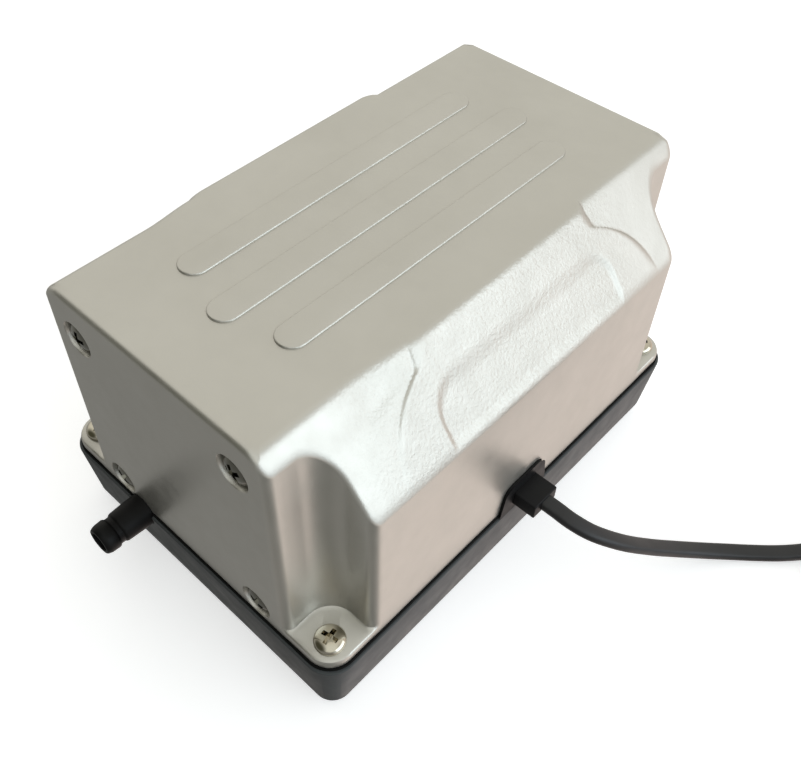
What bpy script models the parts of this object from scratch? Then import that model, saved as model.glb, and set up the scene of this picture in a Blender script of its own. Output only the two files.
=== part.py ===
"""A twin-diaphragm linear air pump for ponds and aquariums, built as separate pieces.

Sizes are in millimetres; MM turns them into Blender's metres when a mesh is made.
The pump stands on the plane z = 0. The end with the air outlet faces -Y, and the long side
with the mains lead faces +X. Every piece is drawn about the housing's middle and hangs on
one empty, which centres the box from the tray's rear edge to the outlet's tip on the origin.
"""
import math

import bmesh
import bpy
from mathutils import Matrix, Vector

MM = 0.001
GAP = 0.3  # clearance between pieces that touch

# Driving dimensions of the outside
HALF_LENGTH = 90.0
HALF_WIDTH = 64.5
TOP_Z = 118.6
FOOT_HEIGHT = 3.0
SEAM_Z = 29.6  # top edge of the base tray
SEAL_THICKNESS = 0.8
CASTING_Z = SEAM_Z + SEAL_THICKNESS + 2 * GAP  # underside of the die-cast housing
LUG_TOP_Z = CASTING_Z + 3.4
SHOULDER_Z = 91.0  # where the side walls turn into the slopes
END_TOP_HALF_WIDTH = 41.9
MID_TOP_HALF_WIDTH = 44.5
CREASE_TOP_Y = 38.5  # half length of the raised middle of each slope, at the top
CREASE_FOOT_Y = 60.0  # and at the shoulder
SIDE_WALL = 3.0
END_WALL = 5.0
TOP_WALL = 3.0
EDGE_RADIUS = 3.0

# Corner flutes, which make room for the lug screws
FLUTE_X = 46.3
FLUTE_Y = 71.5
FLUTE_INNER_RADIUS = 9.0
FLUTE_OUTER_RADIUS = 3.5
LUG_RADIUS = 8.5
LUG_SCREW = (57.0, 82.5)

# Base tray
TRAY_OVERHANG = 1.3
TRAY_TAPER = 2.8
TRAY_WALL = 3.4
TRAY_FLOOR = 3.0
TRAY_RADIUS = 9.5

FOOT_PLACE = (44.0, 70.0)
FILTER_PLACE = (27.0, 0.0, 17.0, 30.0)  # middle and half sizes of the air inlet's window
FILTER_SLOTS = 7
FILTER_SLOT_PITCH = 8.6

# Long ribs on the top: place across, half length
RIBS = ((-20.0, 61.0), (0.0, 67.0), (20.0, 61.0))
RIB_HALF_WIDTH = 5.0
RIB_HEIGHT = 0.6

# Screws
SCREW_HEAD_RADIUS = 5.0
SCREW_HEAD_HEIGHT = 2.9
SCREW_RADIUS = 2.2
END_SCREW_X = 33.0
END_SCREW_Z = (37.2, 104.0)
RECESS_RADIUS = 6.0
RECESS_DEPTH = 2.2

# Pump unit, on an axis along Y
AXIS_Z = 70.5
HEAD_HALF_WIDTH = 38.0
HEAD_Z = (33.6, 107.5)
COVER_Y = (84.7, 74.7)
VALVE_PLATE_Y = (74.4, 70.4)
RING_Y = (70.1, 59.1)
DIAPHRAGM_Y = (58.8, 57.3)
FRAME_PLATE_Y = (57.0, 53.0)
PORT_OFFSET_Z = 18.0
PORT_RADIUS = 5.0
FLAP_TOP = 9.0  # from a port's middle up to its flap's hinge
FLAP_HALF_WIDTH = 7.0
FLAP_THICKNESS = 0.8
DUCT_X = -8.0
TANK_TOP_Z = 20.3

# Air outlet
NOZZLE_X = -24.3
NOZZLE_Z = 28.0
NOZZLE_TIP_Y = -108.5
NOZZLE_TAIL_Y = -78.0
MIDDLE_Y = -(NOZZLE_TIP_Y + HALF_LENGTH + TRAY_OVERHANG) / 2  # shift that centres the box

# Mains lead
CORD_RADIUS = 2.6
CORD_EXIT = (74.4, 0.0, 36.0)
GLAND_NECK = (4.2, 2.6)  # half width and half height of the strain relief's neck
COIL_CENTRE = (197.0, 84.0)
COIL_INNER_RADIUS = 24.2
COIL_OUTER_RADIUS = 40.4
COIL_HEIGHT = 16.0
TIE_HALF_WIDTH = 3.0
TIE_DEPTH = 1.4
PLUG_X = 234.0
PLUG_BODY_Y = (-4.0, 34.0)

# The lead's route, by hand: out of the gland, down to the floor, and away to the coil
CORD_ROUTE = [
    (74.4, 0.0, 36.0),
    (79.0, 0.0, 36.0),
    (85.0, 0.3, 35.4),
    (92.0, 3.6, 32.0),
    (99.4, 11.6, 25.2),
    (105.6, 22.0, 17.0),
    (111.2, 31.4, 10.8),
    (117.4, 40.4, 6.2),
    (124.2, 48.4, 3.6),
    (131.4, 55.4, 2.7),
    (138.2, 61.8, 2.6),
    (144.4, 68.8, 2.6),
    (149.8, 76.8, 2.6),
    (153.4, 84.4, 2.6),
]
# From the coil to the plug
TAIL_ROUTE = [
    (235.6, 65.2, 12.0),
    (235.4, 60.6, 10.8),
    (234.8, 55.6, 9.2),
    (234.2, 50.6, 8.2),
    (234.0, 46.4, 8.0),
]

# ---------------------------------------------------------------- materials


def material(name, colour, roughness, metallic=0.0):
    made = bpy.data.materials.new(name)
    made.use_nodes = True
    shader = made.node_tree.nodes["Principled BSDF"]
    shader.inputs["Base Color"].default_value = (*colour, 1.0)
    shader.inputs["Roughness"].default_value = roughness
    shader.inputs["Metallic"].default_value = metallic
    return made


# ---------------------------------------------------------------- mesh helpers


def add_mesh(name, points, faces, finish, sharp_degrees=35):
    """An object from points in millimetres, its faces turned outwards."""
    mesh = bpy.data.meshes.new(name)
    mesh.from_pydata([Vector(p) * MM for p in points], [], faces)
    return tidy_object(name, mesh, finish, sharp_degrees)


def tidy_object(name, mesh, finish, sharp_degrees=35):
    work = bmesh.new()
    work.from_mesh(mesh)
    bmesh.ops.remove_doubles(work, verts=work.verts, dist=1e-6)
    bmesh.ops.recalc_face_normals(work, faces=work.faces)
    work.to_mesh(mesh)
    work.free()
    mesh.shade_smooth()
    mesh.set_sharp_from_angle(angle=math.radians(sharp_degrees))
    mesh.materials.append(finish)
    made = bpy.data.objects.new(name, mesh)
    bpy.context.scene.collection.objects.link(made)
    return made


def oriented(u, v, w, axis):
    """A point whose third coordinate runs along axis, the others in X, Y, Z order."""
    return {"X": (w, u, v), "Y": (u, w, v), "Z": (u, v, w)}[axis]


def loft(name, rings, finish, closed=False):
    """A skin through rings of equal count, capped at both ends or joined in a loop."""
    count = len(rings[0])
    points = [p for ring in rings for p in ring]
    steps = len(rings) if closed else len(rings) - 1
    faces = []
    for i in range(steps):
        near, far = i * count, (i + 1) % len(rings) * count
        for j in range(count):
            k = (j + 1) % count
            faces.append((near + j, near + k, far + k, far + j))
    if not closed:
        faces.append(tuple(range(count)))
        faces.append(tuple((len(rings) - 1) * count + j for j in range(count)))
    return add_mesh(name, points, faces, finish)


def prism(name, outline, span, axis, finish):
    """A straight extrusion of an outline between the two ends of span."""
    rings = [[oriented(u, v, w, axis) for u, v in outline] for w in span]
    return loft(name, rings, finish)


def box(name, low, high, finish):
    outline = [(low[0], low[1]), (high[0], low[1]), (high[0], high[1]), (low[0], high[1])]
    return prism(name, outline, (low[2], high[2]), "Z", finish)


def circle(centre, radius, count, start=0.0):
    return [
        (
            centre[0] + radius * math.cos(start + 2 * math.pi * i / count),
            centre[1] + radius * math.sin(start + 2 * math.pi * i / count),
        )
        for i in range(count)
    ]


def arc(centre, radius, first, last, steps):
    """Points of an arc from one angle to another, in degrees, ends included."""
    angles = [math.radians(first + (last - first) * i / steps) for i in range(steps + 1)]
    return [(centre[0] + radius * math.cos(a), centre[1] + radius * math.sin(a)) for a in angles]


def rounded_rectangle(half_u, half_v, radius, steps, centre=(0.0, 0.0)):
    outline = []
    for quarter, (su, sv) in enumerate(((1, 1), (-1, 1), (-1, -1), (1, -1))):
        middle = (centre[0] + su * (half_u - radius), centre[1] + sv * (half_v - radius))
        outline += arc(middle, radius, 90 * quarter, 90 * quarter + 90, steps)
    return outline


def turned(name, profile, centre, axis, finish, segments=24, hollow=False):
    """A profile of (radius, place along the axis) turned round an axis.

    A solid profile starts and ends on the axis; a hollow one is a closed loop off it.
    """
    along = {"X": 0, "Y": 1, "Z": 2}[axis]
    across = [centre[i] for i in range(3) if i != along]
    rings = [
        [oriented(u, v, place, axis) for u, v in circle(across, radius, segments)]
        for radius, place in profile
        if hollow or radius > 0
    ]
    return loft(name, rings, finish, closed=hollow)


def rod(name, centre, radius, span, axis, finish, segments=16):
    return turned(name, [(radius, span[0]), (radius, span[1])], centre, axis, finish, segments)


def set_origin(made, point):
    """Move an object's origin to a point, leaving its shape where it is."""
    made.data.transform(Matrix.Translation(-Vector(point) * MM))
    made.location = Vector(point) * MM


def evaluated_copy(target):
    graph = bpy.context.evaluated_depsgraph_get()
    return bpy.data.meshes.new_from_object(target.evaluated_get(graph))


def combine(target, others, operation):
    """Join or cut solids one after another, and remove the ones used up."""
    for other in others:
        step = target.modifiers.new(operation, "BOOLEAN")
        step.operation = operation
        step.object = other
        step.solver = "EXACT"
        bpy.context.view_layer.update()
        made = evaluated_copy(target)
        target.modifiers.clear()
        target.data = made
        bpy.data.objects.remove(other)
    target.data.shade_smooth()
    target.data.set_sharp_from_angle(angle=math.radians(35))
    return target


def join(target, others):
    return combine(target, others, "UNION")


def cut(target, others):
    return combine(target, others, "DIFFERENCE")


def pipe(name, path, outer, inner, finish, segments=12):
    """A short hose: a round tube with a bore, swept along a path of points."""
    route = [Vector(p) for p in path]
    sections = []
    for i, here in enumerate(route):
        ahead = route[min(i + 1, len(route) - 1)] - route[max(i - 1, 0)]
        turn = ahead.to_track_quat("Z", "X").to_matrix()
        sections.append((here, turn))
    rings = []
    for radius, order in ((outer, sections), (inner, sections[::-1])):
        for here, turn in order:
            rings.append([here + turn @ Vector((u, v, 0)) for u, v in circle((0, 0), radius, segments)])
    return loft(name, rings, finish, closed=True)


# ---------------------------------------------------------------- housing


def quarter_outline(front, side, flute_x, flute_y, inner, outer, crease_y):
    """Front middle to side middle of the fluted wall, for x > 0 and y < 0."""
    path = [(0.0, -front), (28.0, -front)]
    path += arc((flute_x - outer, -front + outer), outer, -90, 0, 3)
    path += arc((flute_x + inner, -flute_y - inner), inner, 180, 90, 5)
    path += arc((side - outer, -flute_y + outer), outer, -90, 0, 3)
    path += [(side, -crease_y - 1.5), (side, -crease_y + 1.5), (side, -crease_y / 2), (side, 0.0)]
    return path


def lug_outline(front, side, radius, crease_y):
    """The same walk round the lug's plain rounded corner, with as many points."""
    path = [(0.0, -front), (28.0, -front), (FLUTE_X - FLUTE_OUTER_RADIUS, -front)]
    path += arc((side - radius, -front + radius), radius, -90, 0, 11)
    path += [(side, -FLUTE_Y + FLUTE_OUTER_RADIUS)]
    path += [(side, -crease_y - 1.5), (side, -crease_y + 1.5), (side, -crease_y / 2), (side, 0.0)]
    return path


def all_round(quarter, z):
    """A full ring from a quarter that runs from front middle to side middle."""
    back = [(x, -y) for x, y in quarter[-2::-1]]
    right = quarter + back
    left = [(-x, y) for x, y in right[-2:0:-1]]
    return [(x, y, z) for x, y in right + left]


def slope_x(z, top_half_width):
    """Where the plane of a slope lies at a height, also below the shoulder."""
    share = (z - SHOULDER_Z) / (TOP_Z - SHOULDER_Z)
    return HALF_WIDTH + (top_half_width - HALF_WIDTH) * share


def crease_y(z):
    """Half length of the raised middle of the slope at a height: it flares downwards."""
    share = min(1.0, max(0.0, (TOP_Z - z) / (TOP_Z - SHOULDER_Z)))
    return CREASE_TOP_Y + (CREASE_FOOT_Y - CREASE_TOP_Y) * math.sin(share * math.pi / 2) ** 1.3


def sloped(quarter, z, thinner):
    """The quarter outline with its x clamped to the slopes at height z."""
    clamped = []
    edge = crease_y(z)
    for x, y in quarter:
        top = MID_TOP_HALF_WIDTH if abs(y) < edge else END_TOP_HALF_WIDTH
        clamped.append((min(x, HALF_WIDTH, slope_x(z, top) - thinner), y))
    return clamped


def edge_inset(z):
    depth = z - (TOP_Z - EDGE_RADIUS)
    if depth <= 0:
        return 0.0
    return EDGE_RADIUS - math.sqrt(max(0.0, EDGE_RADIUS**2 - depth**2))


def casting_rings():
    foot = crease_y(SHOULDER_Z)
    rings = [
        all_round(lug_outline(HALF_LENGTH, HALF_WIDTH, LUG_RADIUS, foot), z)
        for z in (CASTING_Z, LUG_TOP_Z)
    ]
    heights = [LUG_TOP_Z, SHOULDER_Z, 97.0, 104.0, 110.0]
    heights += [TOP_Z - EDGE_RADIUS, TOP_Z - 0.9, TOP_Z]
    for z in heights:
        inset = edge_inset(z)
        wall = quarter_outline(
            HALF_LENGTH - inset,
            HALF_WIDTH,
            FLUTE_X,
            FLUTE_Y,
            FLUTE_INNER_RADIUS,
            FLUTE_OUTER_RADIUS,
            crease_y(z),
        )
        rings.append(all_round(sloped(wall, z, 0.25 * inset), z))
    return rings


def cavity_rings():
    rings = []
    slope_wall = SIDE_WALL * 1.35
    for z in (TOP_Z - TOP_WALL, 104.0, SHOULDER_Z - 2.0, CASTING_Z):
        wall = quarter_outline(
            HALF_LENGTH - END_WALL,
            HALF_WIDTH - SIDE_WALL,
            FLUTE_X - SIDE_WALL,
            FLUTE_Y - SIDE_WALL,
            FLUTE_INNER_RADIUS + SIDE_WALL,
            1.0,
            CREASE_TOP_Y,
        )
        limit = min(HALF_WIDTH - SIDE_WALL, slope_x(z, END_TOP_HALF_WIDTH) - slope_wall)
        rings.append(all_round([(min(x, limit), y) for x, y in wall], z))
    return rings


def end_screw_places():
    for end in (-1, 1):
        for x in (-END_SCREW_X, END_SCREW_X):
            for z in END_SCREW_Z:
                yield end, x, z


def lug_screw_places():
    for sx in (-1, 1):
        for sy in (-1, 1):
            yield sx * LUG_SCREW[0], sy * LUG_SCREW[1]


def gland_arch(grow):
    """The arched tab of the tray that the lead comes through, seen along X."""
    foot, top = 13.0 + grow, 9.0 + grow
    low, high = SEAM_Z - 1.0, 44.0 + grow
    return [
        (-foot - 0.4, low),
        (foot + 0.4, low),
        (foot, SEAM_Z + 3.0),
        (top + 1.2, high - 2.2),
        (top - 2.0, high),
        (-top + 2.0, high),
        (-top - 1.2, high - 2.2),
        (-foot, SEAM_Z + 3.0),
    ]


def make_housing(finish):
    outer, inner = casting_rings(), cavity_rings()
    housing = loft("upper_housing", outer + inner, finish, closed=True)
    # The closed loft bridges the top ring to the cavity roof; swap that bridge for two caps.
    work = bmesh.new()
    work.from_mesh(housing.data)
    roof = (TOP_Z - TOP_WALL) * MM
    top = TOP_Z * MM
    bridge = [
        f
        for f in work.faces
        if {round(v.co.z, 5) for v in f.verts} == {round(roof, 5), round(top, 5)}
    ]
    bmesh.ops.delete(work, geom=bridge, context="FACES")
    for level in (top, roof):
        rim = [e for e in work.edges if e.is_boundary and abs(e.verts[0].co.z - level) < 1e-6]
        bmesh.ops.contextual_create(work, geom=rim)
    bmesh.ops.recalc_face_normals(work, faces=work.faces)
    work.to_mesh(housing.data)
    work.free()

    ribs = []
    for x, half_length in RIBS:
        outline = arc((x, half_length - RIB_HALF_WIDTH), RIB_HALF_WIDTH, 0, 180, 6)
        outline += arc((x, -half_length + RIB_HALF_WIDTH), RIB_HALF_WIDTH, 180, 360, 6)
        ribs.append(prism("rib", outline, (TOP_Z - 1.0, TOP_Z + RIB_HEIGHT), "Z", finish))
    join(housing, ribs)

    cutters = [
        rod("cutter", (x, y, 0), 2.7, (CASTING_Z - 1, LUG_TOP_Z + 1), "Z", finish, 10)
        for x, y in lug_screw_places()
    ]
    for end, x, z in end_screw_places():
        face = end * HALF_LENGTH
        recess = (face + end * 2.0, face - end * RECESS_DEPTH)
        cutters.append(rod("cutter", (x, 0, z), RECESS_RADIUS, recess, "Y", finish, 16))
        bore = (face - end * 1.0, face - end * (END_WALL + 1.0))
        cutters.append(rod("cutter", (x, 0, z), SCREW_RADIUS + 0.3, bore, "Y", finish, 8))
    low, high = HALF_WIDTH - SIDE_WALL - 1.0, HALF_WIDTH + 1.0
    cutters.append(prism("cutter", gland_arch(0.5), (low, high), "X", finish))
    collar = (-HALF_LENGTH - 1.0, -HALF_LENGTH + END_WALL + 1.0)
    cutters.append(rod("cutter", (NOZZLE_X, 0, NOZZLE_Z), 6.3, collar, "Y", finish, 16))
    return cut(housing, cutters)


# ---------------------------------------------------------------- base tray


def tray_ring(z, inset):
    share = (SEAM_Z - z) / (SEAM_Z - FOOT_HEIGHT)
    shrink = TRAY_TAPER * share + inset
    half_x = HALF_WIDTH + TRAY_OVERHANG - shrink
    half_y = HALF_LENGTH + TRAY_OVERHANG - shrink
    return [(x, y, z) for x, y in rounded_rectangle(half_x, half_y, TRAY_RADIUS - inset, 5)]


def make_tray(finish):
    floor_top = FOOT_HEIGHT + TRAY_FLOOR
    rings = [
        tray_ring(FOOT_HEIGHT, 1.2),
        tray_ring(FOOT_HEIGHT + 1.2, 0.0),
        tray_ring(SEAM_Z, 0.0),
        tray_ring(SEAM_Z, TRAY_WALL),
        tray_ring(floor_top, TRAY_WALL),
    ]
    tray = loft("base_tray", rings, finish)
    bosses = [
        rod("boss", (x, y, 0), 6.0, (floor_top - 1.0, SEAM_Z - 0.4), "Z", finish, 12)
        for x, y in lug_screw_places()
    ]
    face = HALF_WIDTH + TRAY_OVERHANG
    bosses.append(prism("tab", gland_arch(0.0), (face - 2.6, face - 0.15), "X", finish))
    pad = [
        (NOZZLE_X - 12.5, 9.0),
        (NOZZLE_X + 12.5, 9.0),
        (NOZZLE_X + 15.5, SEAM_Z),
        (NOZZLE_X - 15.5, SEAM_Z),
    ]
    front = -HALF_LENGTH - TRAY_OVERHANG
    bosses.append(prism("pad", pad, (front + 1.9, front + 4.0), "Y", finish))
    join(tray, bosses)

    cutters = [
        rod("cutter", (x, y, 0), SCREW_RADIUS + 0.3, (13.0, SEAM_Z + 1.0), "Z", finish, 8)
        for x, y in lug_screw_places()
    ]
    mouth = (front - 3, front + 8)
    cutters.append(rod("cutter", (NOZZLE_X, 0, NOZZLE_Z), 6.2, mouth, "Y", finish, 16))
    half_y, half_z = GLAND_NECK[0] + GAP, GLAND_NECK[1] + GAP
    low = (face - 6.0, -half_y, CORD_EXIT[2] - half_z)
    high = (face + 3.0, half_y, CORD_EXIT[2] + half_z)
    cutters.append(box("cutter", low, high, finish))
    for x, y in foot_places():
        span = (FOOT_HEIGHT - 1, floor_top + 1)
        cutters.append(rod("cutter", (x, y, 0), 3.3, span, "Z", finish, 12))
    fx, fy, hx, hy = FILTER_PLACE
    cutters.append(box("cutter", (fx - hx, fy - hy, 0), (fx + hx, fy + hy, floor_top + 1), finish))
    return cut(tray, cutters)


def foot_places():
    for sx in (-1, 1):
        for sy in (-1, 1):
            yield sx * FOOT_PLACE[0], sy * FOOT_PLACE[1]


def make_feet(finish):
    for number, (x, y) in enumerate(foot_places(), 1):
        profile = [
            (8.0, 0.0),
            (9.0, 0.8),
            (9.0, FOOT_HEIGHT - GAP),
            (2.9, FOOT_HEIGHT - GAP),
            (2.9, FOOT_HEIGHT + TRAY_FLOOR + GAP),
            (4.2, FOOT_HEIGHT + TRAY_FLOOR + GAP),
            (3.0, FOOT_HEIGHT + TRAY_FLOOR + 2.2),
        ]
        turned(f"rubber_foot_{number}", profile, (x, y, 0), "Z", finish, 16)


def make_seal(finish):
    low, high = SEAM_Z + GAP, SEAM_Z + GAP + SEAL_THICKNESS
    outer = rounded_rectangle(HALF_WIDTH - 0.9, HALF_LENGTH - 0.9, 8.0, 4)
    inner = rounded_rectangle(HALF_WIDTH - 2.8, HALF_LENGTH - 4.0, 6.0, 4)
    rings = [[(x, y, low) for x, y in outer], [(x, y, high) for x, y in outer]]
    rings += [[(x, y, high) for x, y in inner], [(x, y, low) for x, y in inner]]
    seal = loft("housing_seal", rings, finish, closed=True)
    eyelets = []
    cutters = []
    for x, y in lug_screw_places():
        eyelets.append(rod("eyelet", (x, y, 0), 5.0, (low, high), "Z", finish, 12))
        cutters.append(rod("cutter", (x, y, 0), 2.7, (low - 1, high + 1), "Z", finish, 10))
    join(seal, eyelets)
    face = HALF_WIDTH + TRAY_OVERHANG
    cutters.append(prism("cutter", gland_arch(0.5), (face - 2.9, face + 1.0), "X", finish))
    mouth = (-HALF_LENGTH - 3, -HALF_LENGTH + 8)
    cutters.append(rod("cutter", (NOZZLE_X, 0, NOZZLE_Z), 6.6, mouth, "Y", finish, 16))
    return cut(seal, cutters)


# ---------------------------------------------------------------- screws


def pan_head_screw(name, start, direction, length, finish):
    """A cross-recessed pan-head screw; start is under its head, direction points out."""
    profile = [
        (SCREW_RADIUS, -length),
        (SCREW_RADIUS, 0.0),
        (SCREW_HEAD_RADIUS, 0.0),
        (SCREW_HEAD_RADIUS, 1.4),
        (SCREW_HEAD_RADIUS - 1.6, SCREW_HEAD_HEIGHT),
    ]
    screw = turned(name, profile, (0, 0, 0), "Z", finish, 12)
    slots = []
    for turn in (0.0, math.pi / 2):
        slot = box("slot", (-2.6, -0.55, SCREW_HEAD_HEIGHT - 1.6), (2.6, 0.55, 4.0), finish)
        slot.data.transform(Matrix.Rotation(turn, 4, "Z"))
        slots.append(slot)
    cut(screw, slots)
    turn = Vector(direction).to_track_quat("Z", "Y").to_matrix().to_4x4()
    screw.data.transform(turn)
    screw.location = Vector(start) * MM
    return screw


def make_screws(finish):
    for number, (x, y) in enumerate(lug_screw_places(), 1):
        pan_head_screw(f"lug_screw_{number}", (x, y, LUG_TOP_Z + GAP), (0, 0, 1), 19.0, finish)
    for number, (end, x, z) in enumerate(end_screw_places()):
        name = f"{'front' if end < 0 else 'rear'}_screw_{number % 4 + 1}"
        seat = end * (HALF_LENGTH - RECESS_DEPTH + GAP)
        pan_head_screw(name, (x, seat, z), (0, end, 0), 34.0, finish)


# ---------------------------------------------------------------- air outlet and lead


def make_nozzle(finish):
    tip = NOZZLE_TIP_Y
    profile = [
        (3.6, tip),
        (4.8, tip),
        (5.3, tip + 1.5),
        (5.5, tip + 5.0),
        (4.9, tip + 5.6),
        (4.9, tip + 7.2),
        (5.5, tip + 7.8),
        (5.8, tip + 14.0),
        (5.8, -HALF_LENGTH + END_WALL - GAP),
        (4.6, -HALF_LENGTH + END_WALL - GAP),
        (4.6, NOZZLE_TAIL_Y),
        (3.6, NOZZLE_TAIL_Y),
    ]
    return turned("outlet_nozzle", profile, (NOZZLE_X, 0, NOZZLE_Z), "Y", finish, 16, hollow=True)


def make_gland(finish):
    """The square strain relief: a block outside the tab, and its neck through it."""
    face = HALF_WIDTH + TRAY_OVERHANG
    x, y, z = CORD_EXIT
    gland = box("cord_gland", (face + GAP, -5.2, z - 3.4), (x - GAP, 5.2, z + 2.6), finish)
    low = (face - 8.0, -GLAND_NECK[0], z - GLAND_NECK[1])
    high = (face + 1.0, GLAND_NECK[0], z + 2.4)
    return join(gland, [box("neck", low, high, finish)])


def smooth_route(points, spacing):
    """Evenly spaced points on a Catmull-Rom curve through the route's own points."""
    route = [Vector(p) for p in points]
    route = [2 * route[0] - route[1]] + route + [2 * route[-1] - route[-2]]
    dense = []
    for a, b, c, d in zip(route, route[1:], route[2:], route[3:]):
        for i in range(20):
            t = i / 20
            dense.append(
                0.5 * (2 * b + (c - a) * t + (2 * a - 5 * b + 4 * c - d) * t**2)
                + 0.5 * (3 * b - a - 3 * c + d) * t**3
            )
    dense.append(route[-2])
    total = sum((q - p).length for p, q in zip(dense, dense[1:]))
    count = round(total / spacing)
    picked, walked = [dense[0]], 0.0
    for p, q in zip(dense, dense[1:]):
        walked += (q - p).length
        if walked >= total / count * len(picked) and len(picked) < count:
            picked.append(q)
    return picked + [dense[-1]]


def cord_tube(name, route, finish):
    curve = bpy.data.curves.new(name, "CURVE")
    curve.dimensions = "3D"
    curve.bevel_depth = CORD_RADIUS * MM
    curve.bevel_resolution = 2
    curve.use_fill_caps = True
    curve.render_resolution_u = 0
    spline = curve.splines.new("POLY")
    points = smooth_route(route, 2 * 2 * CORD_RADIUS)
    spline.points.add(len(points) - 1)
    for slot, p in zip(spline.points, points):
        slot.co = (*(p * MM), 1.0)
    curve.materials.append(finish)
    made = bpy.data.objects.new(name, curve)
    bpy.context.scene.collection.objects.link(made)
    return made


def bundle_outline(middle, grow):
    """The coil's section about a middle place, grown or shrunk all round."""
    half = (COIL_OUTER_RADIUS - COIL_INNER_RADIUS) / 2 + grow
    return rounded_rectangle(half, COIL_HEIGHT / 2 + grow, 5.0 + grow, 2, (middle, COIL_HEIGHT / 2))


def band(name, middle, half_width, outer, inner, finish):
    """A flat band round the bundle, at the side of the coil that faces -X."""
    y = COIL_CENTRE[1]
    rings = []
    for grow, side in ((outer, 1), (inner, -1)):
        for place in (y - side * half_width, y + side * half_width):
            rings.append([(u, place, v) for u, v in bundle_outline(middle, grow)])
    return loft(name, rings, finish, closed=True)


def make_coil(cord, strap):
    """The wound turns as one ring, pinched where a strap holds them."""
    middle = (COIL_INNER_RADIUS + COIL_OUTER_RADIUS) / 2
    coil = turned("cord_coil", bundle_outline(middle, 0.0), (*COIL_CENTRE, 0), "Z", cord, 26, hollow=True)
    place = COIL_CENTRE[0] - middle
    cut(coil, [band("cutter", place, TIE_HALF_WIDTH + GAP, 4.0, -TIE_DEPTH, cord)])
    band("cord_tie", place, TIE_HALF_WIDTH, -0.1, GAP - TIE_DEPTH, strap)


def make_plug(finish):
    y0, y1 = PLUG_BODY_Y
    body = ((y0, 12.6, 7.6), (y0 + 1.2, 13.2, 8.0), (y0 + 22, 13.0, 8.0), (y1 - 4, 9.0, 6.4))
    boot = ((y1, 5.0, 4.8), (y1 + 4, 4.4, 4.4), (y1 + 12, 3.6, 3.6))
    rings = []
    for y, half_x, half_z in body + boot:
        corner = min(4.0, half_z - 0.1)
        outline = rounded_rectangle(half_x, half_z, corner, 3, (PLUG_X, 8.0))
        rings.append([(u, y, v) for u, v in outline])
    return loft("mains_plug", rings, finish)


def make_pins(finish):
    y0 = PLUG_BODY_Y[0] - GAP
    for number, side in enumerate((-1, 1), 1):
        profile = [(1.2, y0 - 19.0), (2.0, y0 - 17.8), (2.0, y0)]
        turned(f"plug_pin_{number}", profile, (PLUG_X + side * 9.5, 0, 8.0), "Y", finish, 10)


# ---------------------------------------------------------------- pump unit


def mirrored_span(span, end):
    """A span given as distances from the middle, at the front (-1) or the rear (1)."""
    return tuple(sorted(end * place for place in span))


def head_outline():
    middle = (HEAD_Z[0] + HEAD_Z[1]) / 2
    return rounded_rectangle(HEAD_HALF_WIDTH, (HEAD_Z[1] - HEAD_Z[0]) / 2, 3.0, 2, (0.0, middle))


def screw_bores(span, end, finish):
    low, high = mirrored_span(span, end)
    return [
        rod("cutter", (x, 0, z), SCREW_RADIUS + 0.3, (low - 1, high + 1), "Y", finish, 8)
        for x in (-END_SCREW_X, END_SCREW_X)
        for z in END_SCREW_Z
    ]


def make_head(end, side, finishes):
    """Cover, valve plate with its flaps, clamping ring and diaphragm of one end."""
    plastic = finishes["plastic"]
    span = mirrored_span(COVER_Y, end)
    cover = prism(f"{side}_head_cover", head_outline(), span, "Y", plastic)
    chamber = mirrored_span((COVER_Y[1] - 1.0, COVER_Y[0] - 2.5), end)
    cutters = screw_bores(COVER_Y, end, plastic)
    for low, high in ((42.0, 69.0), (72.0, 99.0)):
        cutters.append(box("cutter", (-25.0, chamber[0], low), (25.0, chamber[1], high), plastic))
    middle_y = end * (COVER_Y[0] + COVER_Y[1]) / 2
    for x, low, high in ((DUCT_X, HEAD_Z[0] - 1, 45.0), (10.0, 96.0, HEAD_Z[1] + 1)):
        cutters.append(rod("cutter", (x, middle_y, 0), 3.4, (low, high), "Z", plastic, 12))
    cut(cover, cutters)

    span = mirrored_span(VALVE_PLATE_Y, end)
    plate = prism(f"{side}_valve_plate", head_outline(), span, "Y", plastic)
    cutters = screw_bores(VALVE_PLATE_Y, end, plastic)
    for rise in (-PORT_OFFSET_Z, PORT_OFFSET_Z):
        wide = (span[0] - 1, span[1] + 1)
        cutters.append(rod("cutter", (0, 0, AXIS_Z + rise), PORT_RADIUS, wide, "Y", plastic, 12))
    cut(plate, cutters)

    span = mirrored_span(RING_Y, end)
    ring = prism(f"{side}_diaphragm_ring", head_outline(), span, "Y", finishes["casting"])
    cutters = screw_bores(RING_Y, end, finishes["casting"])
    wide = (span[0] - 1, span[1] + 1)
    cutters.append(rod("cutter", (0, 0, AXIS_Z), 31.0, wide, "Y", finishes["casting"], 24))
    cut(ring, cutters)

    make_diaphragm(end, side, finishes["rubber"])
    make_flaps(end, side, finishes["rubber"])
    path = [(DUCT_X, middle_y, z) for z in (TANK_TOP_Z + GAP, HEAD_Z[0] - GAP)]
    pipe(f"{side}_air_duct", path, 5.2, 3.5, finishes["rubber"])


def make_diaphragm(end, side, finish):
    """A thin rubber disc with one rolled fold between its rim and its clamped middle."""
    outer, inner = DIAPHRAGM_Y
    fold = [(r, 3.2 * math.sin(math.pi * (r - 18.0) / 11.0)) for r in (18.0, 21.7, 25.3, 29.0)]
    far = [(3.4, 0.0)] + fold + [(36.0, 0.0)]
    profile = [(r, end * (outer + rise)) for r, rise in far]
    profile += [(r, end * (inner + rise)) for r, rise in far[::-1]]
    turned(f"{side}_diaphragm", profile, (0, 0, AXIS_Z), "Y", finish, 24, hollow=True)


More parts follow.
